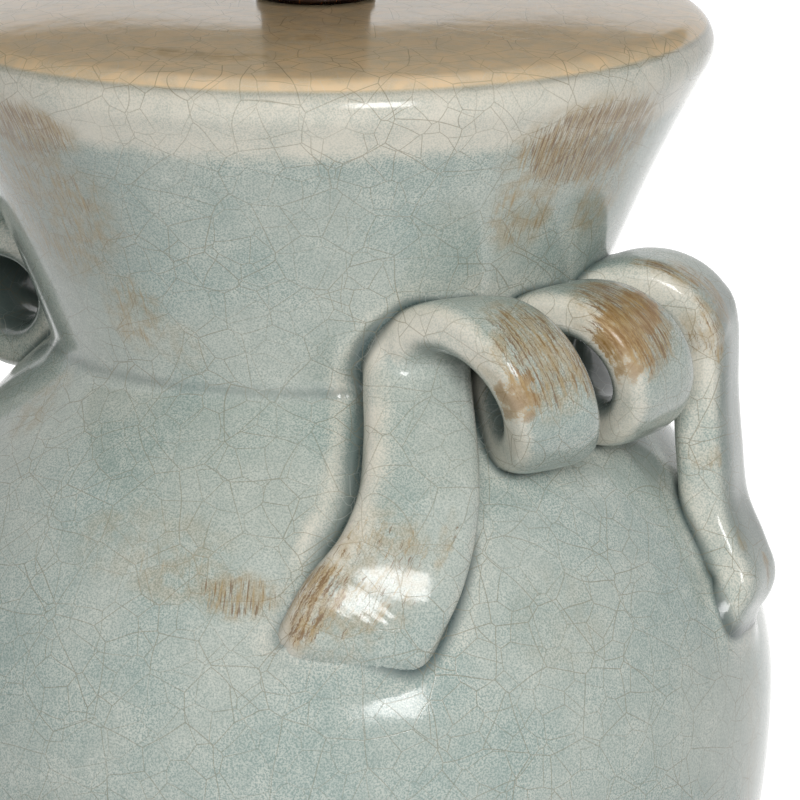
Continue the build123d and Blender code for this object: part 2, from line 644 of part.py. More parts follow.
def switch_knob():
    """A fluted turn knob with a rounded end, pressed on the stem."""
    knob = Cylinder(KNOB_RADIUS, KNOB_LENGTH, align=(Align.CENTER, Align.CENTER, Align.MIN))
    knob = fillet(knob.edges().group_by(Axis.Z)[-1], KNOB_ROUND)
    for place in PolarLocations(KNOB_RADIUS, KNOB_FLUTES):
        knob -= place * Cylinder(KNOB_FLUTE_RADIUS, 3 * KNOB_LENGTH)
    knob -= Cylinder(STEM_RADIUS, KNOB_LENGTH)
    return Pos(0, -KNOB_START, STEM_AXIS) * Rot(90, 0, 0) * knob


# ---------------------------------------------------------------- bulb

def bulb_tip():
    return rod(BULB_TIP_RADIUS, BULB_BOTTOM, BULB_BASE_BOTTOM)


def bulb_plug():
    """The black glass that keeps the tip apart from the screw base."""
    return rod(BULB_PLUG_RADIUS, BULB_BASE_BOTTOM, BULB_BASE_BOTTOM + BULB_PLUG_HEIGHT)


def bulb_base():
    """The screw base, a thin cup that tapers in to the plug."""
    inner = BULB_BASE_RADIUS - BULB_BASE_METAL
    taper = BULB_BASE_RADIUS - BULB_PLUG_RADIUS
    start = BULB_BASE_BOTTOM + BULB_PLUG_HEIGHT / 2
    return turned_points(
        (BULB_PLUG_RADIUS, start), (BULB_BASE_RADIUS, start + taper), (BULB_BASE_RADIUS, GLASS_BOTTOM),
        (inner, GLASS_BOTTOM), (inner, start + taper + BULB_BASE_METAL / 2),
        (BULB_PLUG_RADIUS, start + BULB_BASE_METAL * math.sqrt(2)),
    )


def bulb_glass():
    """A thin glass ball that runs down into a neck, open inside the screw base."""
    neck = BULB_BASE_RADIUS - BULB_BASE_METAL - BULB_NECK_FIT
    centre = (0, GLASS_BOTTOM + BULB_LENGTH - BULB_RADIUS)
    ball = CenterArc(centre, BULB_RADIUS, -BULB_SHOULDER, 90 + BULB_SHOULDER)
    run = (ball % 0) * BULB_BLEND
    blend = Bezier((neck, GLASS_BOTTOM), (neck, GLASS_BOTTOM + BULB_BLEND), (ball @ 0) - run, ball @ 0)
    inside_ball = CenterArc(centre, BULB_RADIUS - BULB_GLASS, -BULB_SHOULDER, 90 + BULB_SHOULDER)
    inside_blend = inside_of(blend, BULB_GLASS)
    low = GLASS_BOTTOM - BULB_LAP
    mouth = Polyline(blend @ 0, (neck, low), (neck - BULB_GLASS, low), inside_blend @ 0)
    return turned([*mouth.edges(), blend, ball, Line(ball @ 1, inside_ball @ 1), inside_ball, inside_blend])


# ---------------------------------------------------------------- shade

def shade_radius(height):
    """Outer radius of the linen, which tapers evenly from bottom to top."""
    share = (height - SHADE_BOTTOM) / SHADE_HEIGHT
    return SHADE_BOTTOM_RADIUS + (SHADE_TOP_RADIUS - SHADE_BOTTOM_RADIUS) * share


def shade_band(depth, thickness, bottom, top):
    """A conical band inside the linen's outer face by depth; a negative depth is outside it."""
    low, high = shade_radius(bottom) - depth, shade_radius(top) - depth
    return turned_points((low - thickness, bottom), (low, bottom), (high, top), (high - thickness, top))


def hoop(height):
    """A wire hoop that lies inside the liner."""
    radius = shade_radius(height) - SHADE_LINEN - SHADE_LINER - HOOP_FIT - HOOP_WIRE_RADIUS
    return Pos(0, 0, height) * Torus(radius, HOOP_WIRE_RADIUS), radius


def shade_linen():
    return shade_band(0, SHADE_LINEN, SHADE_BOTTOM, SHADE_TOP)


def shade_liner():
    return shade_band(SHADE_LINEN, SHADE_LINER, SHADE_BOTTOM, SHADE_TOP)


def shade_trim(edge, inward):
    """A tape folded over an edge; inward is the way from the edge to the shade's middle."""
    fold = edge - inward * TRIM_THICKNESS
    band = shade_band(-TRIM_THICKNESS, TRIM_THICKNESS, *sorted((edge, edge + inward * TRIM_HEIGHT)))
    outer = shade_radius(edge) + TRIM_THICKNESS
    inner = shade_radius(edge) - SHADE_LINEN - SHADE_LINER
    return band + tube(outer, inner, *sorted((edge, fold)))


def bottom_hoop():
    return hoop(SHADE_BOTTOM + HOOP_INSET)[0]


def shade_fitter():
    """The top hoop with its spokes and the washer that drops over the harp's stud."""
    hoop_height = SHADE_TOP - HOOP_INSET
    ring, radius = hoop(hoop_height)
    level = FITTER_BOTTOM + FITTER_THICKNESS / 2
    start = (FITTER_HOLE_RADIUS + FITTER_RADIUS) / 2 + SPOKE_RADIUS
    end = (radius + SPOKE_BITE, 0, hoop_height)
    path = FilletPolyline((start, 0, level), (SPOKE_LEVEL, 0, level), end, radius=SPOKE_BEND)
    spoke = sweep(Plane(origin=path @ 0, z_dir=path % 0) * Circle(SPOKE_RADIUS), path)
    frame = ring + tube(FITTER_RADIUS, FITTER_HOLE_RADIUS, FITTER_BOTTOM, FITTER_BOTTOM + FITTER_THICKNESS)
    for index in range(SPOKES):
        frame += Rot(0, 0, 90 + index * 360 / SPOKES) * spoke
    return frame


# ---------------------------------------------------------------- finial

def finial():
    """A turned knob with a threaded bore for the harp's stud."""
    ball_centre = FINIAL_BOTTOM + FINIAL_BALL_HEIGHT
    ball_start = math.degrees(math.acos(FINIAL_NECK_RADIUS / FINIAL_BALL_RADIUS))
    ball_end = math.degrees(math.acos(FINIAL_TIP_RADIUS / FINIAL_BALL_RADIUS))
    ball = CenterArc((0, ball_centre), FINIAL_BALL_RADIUS, -ball_start, ball_start + ball_end)
    collar_top = FINIAL_BOTTOM + FINIAL_BASE_HEIGHT
    tip = FINIAL_BOTTOM + FINIAL_HEIGHT - FINIAL_TIP_RADIUS
    body = turned([
        Line((0, FINIAL_BOTTOM), (FINIAL_BASE_RADIUS, FINIAL_BOTTOM)),
        Line((FINIAL_BASE_RADIUS, FINIAL_BOTTOM), (FINIAL_BASE_RADIUS, collar_top)),
        Bezier((FINIAL_BASE_RADIUS, collar_top), (FINIAL_NECK_RADIUS, collar_top), ball @ 0),
        ball,
        Line(ball @ 1, (FINIAL_TIP_RADIUS, tip)),
        CenterArc((0, tip), FINIAL_TIP_RADIUS, 0, 90),
        Line((0, FINIAL_BOTTOM + FINIAL_HEIGHT), (0, FINIAL_BOTTOM)),
    ])
    bore_top = HARP_SEAT + STUD_LENGTH + FINIAL_BORE_SLACK
    return body - rod(STUD_RADIUS + FINIAL_FIT, FINIAL_BOTTOM - 1, bore_top)


# ---------------------------------------------------------------- all pieces

def pieces():
    """Every piece of the lamp under its own name, from the table upwards."""
    right = handle()
    return {
        "felt_pad": felt_pad(),
        "hex_nut": hex_nut(),
        "lock_washer": lock_washer(),
        "base_plate": base_plate(),
        "lamp_pipe": lamp_pipe(),
        "jar": jar(),
        "handle_right": right,
        "handle_left": twin(right),
        "cord_outlet": cord_outlet(),
        "neck_ring": neck_ring(),
        "neck_bush_lower": neck_bush(NECK_BOTTOM),
        "neck_bush_upper": neck_bush(NECK_TOP - BUSH_HEIGHT),
        "neck_tube": neck_tube(),
        "neck_cap": neck_cap(),
        "harp_saddle": harp_saddle(),
        "harp_sleeve_right": harp_sleeve(1),
        "harp_sleeve_left": harp_sleeve(-1),
        "harp": harp(),
        "harp_stud": harp_stud(),
        "socket_cap": socket_cap(),
        "socket_shell": socket_shell(),
        "socket_liner": socket_liner(),
        "socket_insulator": socket_insulator(),
        "screw_shell": screw_shell(),
        "centre_contact": centre_contact(),
        "switch_stem": switch_stem(),
        "switch_knob": switch_knob(),
        "bulb_tip": bulb_tip(),
        "bulb_plug": bulb_plug(),
        "bulb_base": bulb_base(),
        "bulb_glass": bulb_glass(),
        "shade_fitter": shade_fitter(),
        "shade_bottom_hoop": bottom_hoop(),
        "shade_liner": shade_liner(),
        "shade_linen": shade_linen(),
        "shade_trim_top": shade_trim(SHADE_TOP, -1),
        "shade_trim_bottom": shade_trim(SHADE_BOTTOM, 1),
        "finial": finial(),
    }


os.makedirs("parts", exist_ok=True)
for name, piece in pieces().items():
    export_step(piece, f"parts/{name}.step")
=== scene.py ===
import bpy
import bmesh
import math
import numpy as np
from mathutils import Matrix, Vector, noise
from mathutils.bvhtree import BVHTree


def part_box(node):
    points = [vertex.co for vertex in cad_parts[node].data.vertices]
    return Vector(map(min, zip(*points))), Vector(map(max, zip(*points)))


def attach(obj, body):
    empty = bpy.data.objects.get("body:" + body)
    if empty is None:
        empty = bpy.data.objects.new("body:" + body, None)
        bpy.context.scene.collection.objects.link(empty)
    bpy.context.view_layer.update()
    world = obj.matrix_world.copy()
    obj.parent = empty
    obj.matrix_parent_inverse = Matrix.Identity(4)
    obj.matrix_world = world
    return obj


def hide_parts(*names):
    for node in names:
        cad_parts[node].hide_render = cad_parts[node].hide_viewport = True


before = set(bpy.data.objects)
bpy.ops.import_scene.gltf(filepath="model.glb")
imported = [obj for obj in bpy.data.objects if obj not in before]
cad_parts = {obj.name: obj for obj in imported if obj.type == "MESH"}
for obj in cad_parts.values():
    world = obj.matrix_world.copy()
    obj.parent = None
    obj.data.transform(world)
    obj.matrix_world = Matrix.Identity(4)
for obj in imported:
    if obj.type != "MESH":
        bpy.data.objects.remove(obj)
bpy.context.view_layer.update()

# A ginger jar lamp: crackle-glazed stoneware with coiled strap handles, a bronze neck, harp and
# linen shade. Metres, +Z up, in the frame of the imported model. The handles stand at +X and -X.

MM = 0.001

# ---------------------------------------------------------------- sizes

# Jar, outside. Pairs are (distance from the axis, height).
JAR_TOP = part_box("jar")[1].z - 3.0 * MM      # height of the rounded rim, under the domed top
RIM_RADIUS = 90.9 * MM
RIM_ROUND = 7.1 * MM
FLARE_HOLLOW = 3.8 * MM
FLARE_TANGENT = math.radians(28.0)
SEAT = (17.0 * MM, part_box("jar")[1].z)
DOME_FLAT = 35.0 * MM                        # the top is flat out to here, then falls to the rim
DOME_EDGE_SLOPE = 7.0                        # degrees
CREASE = (60.2 * MM, 308.4 * MM)
CREASE_FILLET = 4.5 * MM                     # the crease is rounded from this far on each side
SHOULDER_LEAD = (16.5 * MM, -11.7 * MM)
SHOULDER_SWELL = 34.2 * MM
BELLY = (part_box("jar")[1].x, 228.3 * MM)
BELLY_SWELL = 58.0 * MM
ANKLE = (63.5 * MM, 21.0 * MM)
ANKLE_LEAD = (8.5 * MM, 62.0 * MM)
FOOT = (68.0 * MM, 10.5 * MM)
FOOT_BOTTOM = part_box("jar")[0].z
FOOT_BEVEL = 0.8 * MM
FOOT_LEAN = 0.2 * MM                         # the foot's edge leans out by this
FOOT_COVE = 0.4 * MM
FOOT_RING_WIDTH = 9.0 * MM
FOOT_RECESS = 10.5 * MM
FLOOR_HOLE_RADIUS = 28.0 * MM
WALL = 7.0 * MM
PIPE_HOLE_RADIUS = 5.75 * MM

# Coiled handles. Degrees round the jar are counted from 47 degrees before the handle's middle.
HANDLE_AZIMUTH = 47.0
COIL_MIDDLE = (CREASE[0] + 17.8 * MM, CREASE[1] + 4.2 * MM)
COIL_RADIUS = 14.2 * MM
COIL_START = 24.4
COIL_PITCH = 20.2
COIL_LEAD_IN = 5.4
COIL_CLIMB = 2.2 * MM
COIL_FIRST = 15.0
COIL_LAST = 900.0
COIL_STEP = 22.5
STRAP_HALF_WIDTH = 11.2 * MM
STRAP_FAN = 0.5 * MM
STRAP_HALF_THICKNESS = 6.2 * MM
STRAP_ENTRY_SPREAD = 1.7 * MM
INNER_LEG_DEGREES = (3.6, 5.4, 8.4, 11.8, 15.2, 17.6)
INNER_LEG_DEPTHS = (52.0, 45.5, 39.0, 31.5, 21.5, 11.0)
INNER_LEG_LIFTS = (-6.0, -1.2, 1.4, 3.3, 4.7, 5.8)
INNER_LEG_HALF_WIDTHS = (14.5, 16.0, 15.6, 14.8, 13.7, 12.9)
INNER_LEG_HALF_THICKNESSES = (3.6, 4.6, 5.1, 5.6, 6.0, 6.2)
OUTER_LEG_DEGREES = (75.0, 74.7, 74.4, 73.4, 72.2, 71.0, 70.0)
OUTER_LEG_DEPTHS = (7.0, 20.0, 33.0, 43.0, 49.0, 54.5, 60.5)
OUTER_LEG_LIFTS = (23.4, 12.3, 4.6, 3.6, 3.4, -0.2, -5.0)
OUTER_LEG_HALF_WIDTHS = (12.2, 12.6, 12.6, 12.2, 11.8, 11.2, 10.2)
OUTER_LEG_HALF_THICKNESSES = (6.4, 6.5, 6.4, 6.2, 6.0, 4.9, 3.8)
COIL_TUCK = (0.9, 1.3 * MM)   # the first turn's far edge is drawn in: degrees, and off its half width
TUCK_TURNS = (30.0, 260.0)    # degrees along the coil where the tuck starts and ends
COIL_THINNING = 0.7 * MM      # off the half thickness from the second turn on
THIN_TURNS = (300.0, 870.0)   # degrees along the coil where the thinning starts and ends ...
THIN_RAMP = 90.0              # ... each over this many degrees
STRAP_SPAN_STEPS = 5          # sections between one station and the next
STRAP_AROUND = 48             # points round a section
STRAP_SQUARENESS = 0.62       # 1 is an ellipse, towards 0 a box
HANDLE_VOXEL = 0.62 * MM
LEG_TURNS_OVER = 70 * MM      # along the strap, where the first leg goes over into the coil

# Jar mesh
HANDLE_SPAN = (-50.0, 40.0)      # degrees from each handle's middle with the fine columns
FINE_COLUMNS = 125
COARSE_COLUMNS = 42
SHOULDER_ROWS = 84
FLARE_ROWS = 46
LOWER_ROWS = 46
FLARE_BUNCHING = 1.25            # above 1, the flare's rows crowd towards the crease

# Camera, fitted to the photograph
CAMERA_AZIMUTH = 43.0            # degrees from -Y towards +X
CAMERA_ELEVATION = 13.3
CAMERA_DISTANCE = 1.6
CAMERA_TARGET = (0.01404, 0.01309, 0.2936)
CAMERA_LENS = 311.7


# ---------------------------------------------------------------- node helpers

class Graph:
    """Adds nodes to a tree and joins them."""

    def __init__(self, tree):
        self.tree = tree

    def feed(self, socket, value):
        if isinstance(value, bpy.types.NodeSocket):
            self.tree.links.new(value, socket)
        else:
            socket.default_value = value

    def add(self, kind, *values, **settings):
        """A node with its settings, fed by position; None leaves a socket as it is."""
        made = self.tree.nodes.new(kind)
        for name, value in settings.items():
            setattr(made, name, value)
        for socket, value in zip(made.inputs, values):
            if value is not None:
                self.feed(socket, value)
        return made

    def named(self, made, **values):
        """Feeds sockets by name, with _ for a space."""
        for name, value in values.items():
            self.feed(made.inputs[name.replace("_", " ")], value)
        return made


def new_group(name, kind, inputs, outputs):
    """An empty node group with named sockets, each (name, type) or (name, type, value)."""
    tree = bpy.data.node_groups.new(name, kind)
    for label, socket_type, *value in inputs:
        socket = tree.interface.new_socket(label, in_out="INPUT", socket_type=socket_type)
        if value:
            socket.default_value = value[0]
    for label, socket_type in outputs:
        tree.interface.new_socket(label, in_out="OUTPUT", socket_type=socket_type)
    entry = tree.nodes.new("NodeGroupInput")
    leave = tree.nodes.new("NodeGroupOutput")
    return tree, entry, leave


def shader_math(g, operation, *values, clamp=False):
    return g.add("ShaderNodeMath", *values, operation=operation, use_clamp=clamp).outputs[0]


def plus(g, first, second):
    return shader_math(g, "ADD", first, second)


def minus(g, first, second):
    return shader_math(g, "SUBTRACT", first, second)


def times(g, first, second):
    return shader_math(g, "MULTIPLY", first, second)


def divided(g, first, second):
    return shader_math(g, "DIVIDE", first, second)


def larger(g, first, second):
    return shader_math(g, "MAXIMUM", first, second)


def ramp_up(g, value, low, high):
    """0 below low, 1 above high, smooth between."""
    made = g.add("ShaderNodeMapRange", interpolation_type="SMOOTHSTEP")
    g.named(made, Value=value, From_Min=low, From_Max=high)
    return made.outputs["Result"]


def between(g, share, low, high):
    """A number from low at 0 to high at 1."""
    return plus(g, times(g, share, high - low), low)


def swing(g, share, width):
    """A number that runs over width, half of it below 0, as share goes from 0 to 1."""
    return times(g, minus(g, share, 0.5), width)


def blend_colours(g, share, first, second):
    made = g.add("ShaderNodeMix", data_type="RGBA", clamp_factor=True)
    g.feed(made.inputs[0], share)
    g.feed(made.inputs[6], first)
    g.feed(made.inputs[7], second)
    return made.outputs[2]


def vector_math(g, operation, first, second):
    return g.add("ShaderNodeVectorMath", first, second, operation=operation).outputs[0]


def noise_node(g, vector, scale, **settings):
    made = g.add("ShaderNodeTexNoise")
    g.named(made, Vector=vector, Scale=scale, **settings)
    return made


def noise_of(g, vector, size, detail=2.0, distortion=0.0):
    """A noise whose patches are about size across, 0 to 1."""
    made = noise_node(g, vector, 1 / size, Detail=detail, Roughness=0.5, Distortion=distortion)
    return made.outputs["Fac"]


def bump_into(g, shader, height, distance, strength=1.0):
    bump = g.add("ShaderNodeBump")
    g.named(bump, Strength=strength, Distance=distance, Height=height)
    g.feed(shader.inputs["Normal"], bump.outputs[0])


def srgb(red, green, blue):
    """A display colour, 0 to 255, as the linear colour that a shader takes."""
    return tuple(
        c / 12.92 if c <= 0.04045 else ((c + 0.055) / 1.055) ** 2.4
        for c in (red / 255, green / 255, blue / 255)
    ) + (1.0,)


def new_material(name):
    made = bpy.data.materials.new(name)
    made.use_nodes = True
    g = Graph(made.node_tree)
    shader = made.node_tree.nodes["Principled BSDF"]
    return made, g, shader


def object_place(g):
    return g.add("ShaderNodeTexCoord").outputs["Object"]


# ---------------------------------------------------------------- shared effects

CRAZE_SOFT_FROM = 0.35       # a craze line is full up to this share of its width
LEAST_STEEPNESS = 0.08       # keeps a wall that lies in the surface from dividing by nothing
STREAK_GAP = 0.86            # hairs below this stay clear where Amount is 0 ...
STREAK_CLOSING = 0.5         # ... and below this much less where it is 1


def make_craze_group():
    """Thin crazing lines between cells, bent a little: 1 on a line, 0 in a cell.

    The distance to a cell's wall is taken along the surface, so that a slanting wall draws no broad line."""
    tree, entry, leave = new_group(
        "craze", "ShaderNodeTree",
        [("Vector", "NodeSocketVector"), ("Cell", "NodeSocketFloat", 8 * MM),
         ("Line", "NodeSocketFloat", 0.2 * MM), ("Bend", "NodeSocketFloat", 2 * MM),
         ("Bend Size", "NodeSocketFloat", 12 * MM)],
        [("Mask", "NodeSocketFloat")],
    )
    g = Graph(tree)
    i = entry.outputs
    wander = noise_node(g, i["Vector"], divided(g, 1.0, i["Bend Size"]), Detail=1.0)
    centred = vector_math(g, "SUBTRACT", wander.outputs["Color"], (0.5, 0.5, 0.5))
    moved = g.add("ShaderNodeVectorMath", centred, operation="SCALE")
    g.feed(moved.inputs["Scale"], i["Bend"])
    bent = vector_math(g, "ADD", i["Vector"], moved.outputs[0])
    scale = divided(g, 1.0, i["Cell"])

    def cells(feature):
        made = g.add("ShaderNodeTexVoronoi", feature=feature)
        g.named(made, Vector=bent, Scale=scale)
        return made.outputs

    across = vector_math(g, "SUBTRACT", cells("F2")["Position"], cells("F1")["Position"])
    across = g.add("ShaderNodeVectorMath", across, operation="NORMALIZE").outputs[0]
    surface = g.add("ShaderNodeNewGeometry").outputs["Normal"]
    flat = g.add("ShaderNodeVectorMath", across, surface, operation="DOT_PRODUCT").outputs["Value"]
    steep = shader_math(g, "SQRT", minus(g, 1.0, times(g, flat, flat)), clamp=True)
    apart = times(g, cells("DISTANCE_TO_EDGE")["Distance"], i["Cell"])
    apart = divided(g, apart, larger(g, steep, LEAST_STEEPNESS))
    away = ramp_up(g, apart, times(g, i["Line"], CRAZE_SOFT_FROM), i["Line"])
    g.feed(leave.inputs["Mask"], minus(g, 1.0, away))
    return tree


def make_streak_group():
    """Dry brush streaks, long along Z of the vector. Where Amount is 1 they close up, at 0 there are none."""
    tree, entry, leave = new_group(
        "brush_streaks", "ShaderNodeTree",
        [("Vector", "NodeSocketVector"), ("Amount", "NodeSocketFloat", 1.0),
         ("Width", "NodeSocketFloat", 0.8 * MM), ("Length", "NodeSocketFloat", 9 * MM),
         ("Softness", "NodeSocketFloat", 0.12)],
        [("Mask", "NodeSocketFloat")],
    )
    g = Graph(tree)
    i = entry.outputs
    across = divided(g, 1.0, i["Width"])
    along = divided(g, 1.0, i["Length"])
    scale = g.add("ShaderNodeCombineXYZ", across, across, along).outputs[0]
    place = vector_math(g, "MULTIPLY", i["Vector"], scale)
    hairs = noise_node(g, place, 1.0, Detail=3.0, Roughness=0.62).outputs["Fac"]
    threshold = minus(g, STREAK_GAP, times(g, i["Amount"], STREAK_CLOSING))
    mask = ramp_up(g, hairs, threshold, plus(g, threshold, i["Softness"]))
    g.feed(leave.inputs["Mask"], mask)
    return tree


def make_speckle_group():
    """Fine mottling of a thick glaze, 0 to 1."""
    tree, entry, leave = new_group(
        "speckle", "ShaderNodeTree",
        [("Vector", "NodeSocketVector"), ("Size", "NodeSocketFloat", 0.8 * MM)],
        [("Mask", "NodeSocketFloat")],
    )
    g = Graph(tree)
    i = entry.outputs
    grain = noise_node(g, i["Vector"], divided(g, 1.0, i["Size"]), Detail=2.5, Roughness=0.6)
    g.feed(leave.inputs["Mask"], ramp_up(g, grain.outputs["Fac"], 0.34, 0.66))
    return tree


CRAZE = make_craze_group()
STREAKS = make_streak_group()
SPECKLE = make_speckle_group()


def place_group(g, tree, **values):
    """A group's outputs, with its sockets fed by name."""
    made = g.add("ShaderNodeGroup", node_tree=tree)
    g.named(made, **values)
    return made.outputs


# ---------------------------------------------------------------- glaze

CELADON = srgb(150, 160, 153)
CELADON_PALE = srgb(196, 200, 192)
CELADON_TEAL = srgb(126, 145, 140)
CREAM = srgb(214, 208, 194)
# Dark teal of thick pooled glaze; where it fills joins, creases and hollows it is also painted shade.
POOL_AND_SHADE = srgb(50, 68, 67)
CRAZE_LINE = srgb(116, 108, 84)
CRAZE_PALE = srgb(208, 211, 204)
UMBER = srgb(98, 64, 20)
OCHRE = srgb(150, 122, 66)
GOLD = srgb(158, 130, 82)
GOLD_DEEP = srgb(138, 106, 60)
# Tan of the top: a brown wash, made light enough to stand in for the light the shade keeps off it (painted
# light), and partly a painted reflection of the shade's lining.
TAN_AND_PAINTED_LIGHT_TOP = srgb(230, 203, 164)


COARSE_NET = {"Cell": 14 * MM, "Line": 0.17 * MM, "Bend": 4.5 * MM, "Bend_Size": 22 * MM}
FINE_NET = {"Cell": 7.6 * MM, "Line": 0.15 * MM, "Bend": 2.4 * MM, "Bend_Size": 13 * MM}
PALE_NET = {"Cell": 5.5 * MM, "Line": 0.16 * MM, "Bend": 2.4 * MM, "Bend_Size": 10 * MM}
BROAD_STREAKS = {"Width": 0.9 * MM, "Length": 9 * MM, "Softness": 0.26}
HAIR_STREAKS = {"Width": 0.36 * MM, "Length": 5 * MM, "Softness": 0.14}

# Sizes of the glaze's patches
SPECKLE_SIZE = 0.4 * MM
CLOUD_SIZE = 30 * MM
WISP_SIZE = 8 * MM
WARMTH_SIZE = 5 * MM
DAB_SIZE = 3.4 * MM
CRAZE_PATCH_SIZE = 20 * MM

# How far each layer hides what lies under it
CREAM_COVER = 0.85
BROAD_COVER = 0.6
HAIR_COVER = 0.78
GOLD_COVER = 0.72
HAIR_ON_GOLD_COVER = 0.35

GLAZE_ROUGHNESS = 0.13
GLAZE_IOR = 1.5
GLAZE_BUMP = 0.03 * MM
GLAZE_BUMP_STRENGTH = 0.75


def attribute(g, name):
    return g.add("ShaderNodeAttribute", attribute_name=name)


def glaze_ground(g, place, marks):
    """Celadon, tan on the top as a wash with painted light, cream where it is thin, and dark where it pools
    and where shade is painted.

    Also gives the raggedness that the edges of its patches share."""
    speckle = place_group(g, SPECKLE, Vector=place, Size=SPECKLE_SIZE)["Mask"]
    clouds = noise_of(g, place, CLOUD_SIZE, detail=3.0)
    wisps = noise_of(g, place, WISP_SIZE, detail=3.0, distortion=0.6)
    colour = blend_colours(g, ramp_up(g, clouds, 0.36, 0.68), CELADON, CELADON_TEAL)
    colour = blend_colours(g, times(g, speckle, between(g, wisps, 0.2, 1.0)), colour, CELADON_PALE)

    # The top's tan, partly painted light and a painted reflection of the shade's lining.
    warm = ramp_up(g, noise_of(g, place, WARMTH_SIZE), 0.35, 0.65)
    colour = blend_colours(g, times(g, marks["top"], between(g, warm, 0.75, 1.0)), colour, TAN_AND_PAINTED_LIGHT_TOP)

    ragged = swing(g, speckle, 0.3)
    edge = plus(g, ragged, swing(g, wisps, 0.7))
    thin_share = ramp_up(g, plus(g, marks["thin"], edge), 0.05, 1.1)
    colour = blend_colours(g, times(g, thin_share, CREAM_COVER), colour, CREAM)
    # The pool's dark is glaze pooled in recesses, and painted shade in joins and hollows.
    pool_and_shade_edge = times(g, times(g, edge, marks["pool_and_shade"]), 0.7)
    pool_and_shade_share = shader_math(g, "ADD", marks["pool_and_shade"], pool_and_shade_edge, clamp=True)
    return blend_colours(g, pool_and_shade_share, colour, POOL_AND_SHADE), ragged


def craze_nets(g, place):
    """The dark lines of a coarse and a fine net, and the pale lines that show where those are faint."""
    coarse, fine, pale = [
        place_group(g, CRAZE, Vector=place, **net)["Mask"] for net in (COARSE_NET, FINE_NET, PALE_NET)
    ]
    strength = ramp_up(g, noise_of(g, place, CRAZE_PATCH_SIZE), 0.36, 0.66)
    faint = minus(g, 1.0, strength)
    fine = times(g, fine, between(g, strength, 0.22, 0.5))
    coarse = times(g, coarse, between(g, strength, 0.36, 0.52))
    return larger(g, fine, coarse), times(g, pale, between(g, faint, 0.0, 0.2))


def brush_over(g, colour, place, marks, ragged):
    """Brown dragged over the colour in broad and fine streaks, and gold dabbed on its crests."""
    unrolled = attribute(g, "unrolled").outputs["Vector"]
    stain, gold = marks["stain"], marks["gold"]
    broad = place_group(g, STREAKS, Vector=unrolled, Amount=stain, **BROAD_STREAKS)["Mask"]
    hair = place_group(g, STREAKS, Vector=unrolled, Amount=times(g, stain, 0.8), **HAIR_STREAKS)["Mask"]
    dabs = ramp_up(g, noise_of(g, place, DAB_SIZE, detail=3.0), 0.38, 0.64)
    wash = times(g, ramp_up(g, stain, 0.1, 0.95), between(g, dabs, 0.1, 0.42))
    colour = blend_colours(g, wash, colour, OCHRE)
    colour = blend_colours(g, times(g, broad, BROAD_COVER), colour, OCHRE)
    colour = blend_colours(g, times(g, hair, HAIR_COVER), colour, UMBER)

    gold_edge = plus(g, plus(g, swing(g, dabs, 0.6), swing(g, broad, 0.3)), ragged)
    gold_share = times(g, ramp_up(g, plus(g, gold, gold_edge), 0.3, 0.8), gold)
    gold_tone = blend_colours(g, dabs, GOLD, GOLD_DEEP)
    colour = blend_colours(g, times(g, gold_share, GOLD_COVER), colour, gold_tone)
    colour = blend_colours(g, times(g, times(g, hair, gold), HAIR_ON_GOLD_COVER), colour, UMBER)
    return colour, broad, hair


def glaze_relief(g, place, lines):
    """A fine ripple on a slow swell, with a dent along each craze line."""
    ripple = times(g, noise_of(g, place, 1.1 * MM, detail=1.5), 0.6)
    swell = times(g, noise_of(g, place, 7 * MM, detail=1.0), 2.6)
    return plus(g, plus(g, ripple, swell), times(g, lines, -0.8))


def glaze_material():
    """Crackled celadon over stoneware, thin and cream on edges, pooled and darkened with painted shade in
    recesses, brushed with brown.

    It reads the attributes pool_and_shade, thin, stain, gold and top, each 0 to 1, and unrolled, a place
    whose Z runs along the brush."""
    material, g, shader = new_material("celadon_crackle_glaze")
    place = object_place(g)
    marks = {name: attribute(g, name).outputs["Fac"] for name in ("pool_and_shade", "thin", "stain", "gold", "top")}
    colour, ragged = glaze_ground(g, place, marks)
    lines, pale_lines = craze_nets(g, place)
    colour = blend_colours(g, pale_lines, colour, CRAZE_PALE)
    colour = blend_colours(g, lines, colour, CRAZE_LINE)
    colour, broad, hair = brush_over(g, colour, place, marks, ragged)
    g.feed(shader.inputs["Base Color"], colour)

    dry = larger(g, times(g, hair, 0.16), times(g, broad, 0.1))
    dry = larger(g, dry, between(g, ramp_up(g, marks["pool_and_shade"], 0.75, 1.0), 0.0, 0.3))
    g.feed(shader.inputs["Roughness"], plus(g, GLAZE_ROUGHNESS, dry))
    bump_into(g, shader, glaze_relief(g, place, lines), GLAZE_BUMP, GLAZE_BUMP_STRENGTH)
    shader.inputs["IOR"].default_value = GLAZE_IOR
    return material


GLAZE = glaze_material()


# ---------------------------------------------------------------- strap handles

SEAM_CLOSES = 0.002 * MM         # points of the swept strap nearer than this are one
PRESS_ROUNDS = 110
PRESS_SHARPNESS = 0.01 * MM
PRESS_STEP = 0.6
PRESS_ROUNDS_PER_NORMAL = 6      # rounds before the normals are taken again
EVEN_OUT_STEPS = (0.5, -0.52)    # a step in and a slightly longer one out keep the size
THUMB_ROUNDS = 90


def bezier(points, count):
    """Points of a Bezier curve, as an array."""
    points = np.array(points, float)
    shares = np.linspace(0.0, 1.0, count)[:, None]
    degree = len(points) - 1
    return sum(
        math.comb(degree, k) * (1 - shares) ** (degree - k) * shares ** k * points[k]
        for k in range(degree + 1)
    )


def shoulder_curve(count):
    """From the belly up to the crease."""
    return bezier([
        BELLY, (BELLY[0], BELLY[1] + SHOULDER_SWELL),
        (CREASE[0] + SHOULDER_LEAD[0], CREASE[1] + SHOULDER_LEAD[1]), CREASE,
    ], count)


def shoulder_radius(height):
    curve = shoulder_curve(400)
    return float(np.interp(height, curve[:, 1], curve[:, 0]))


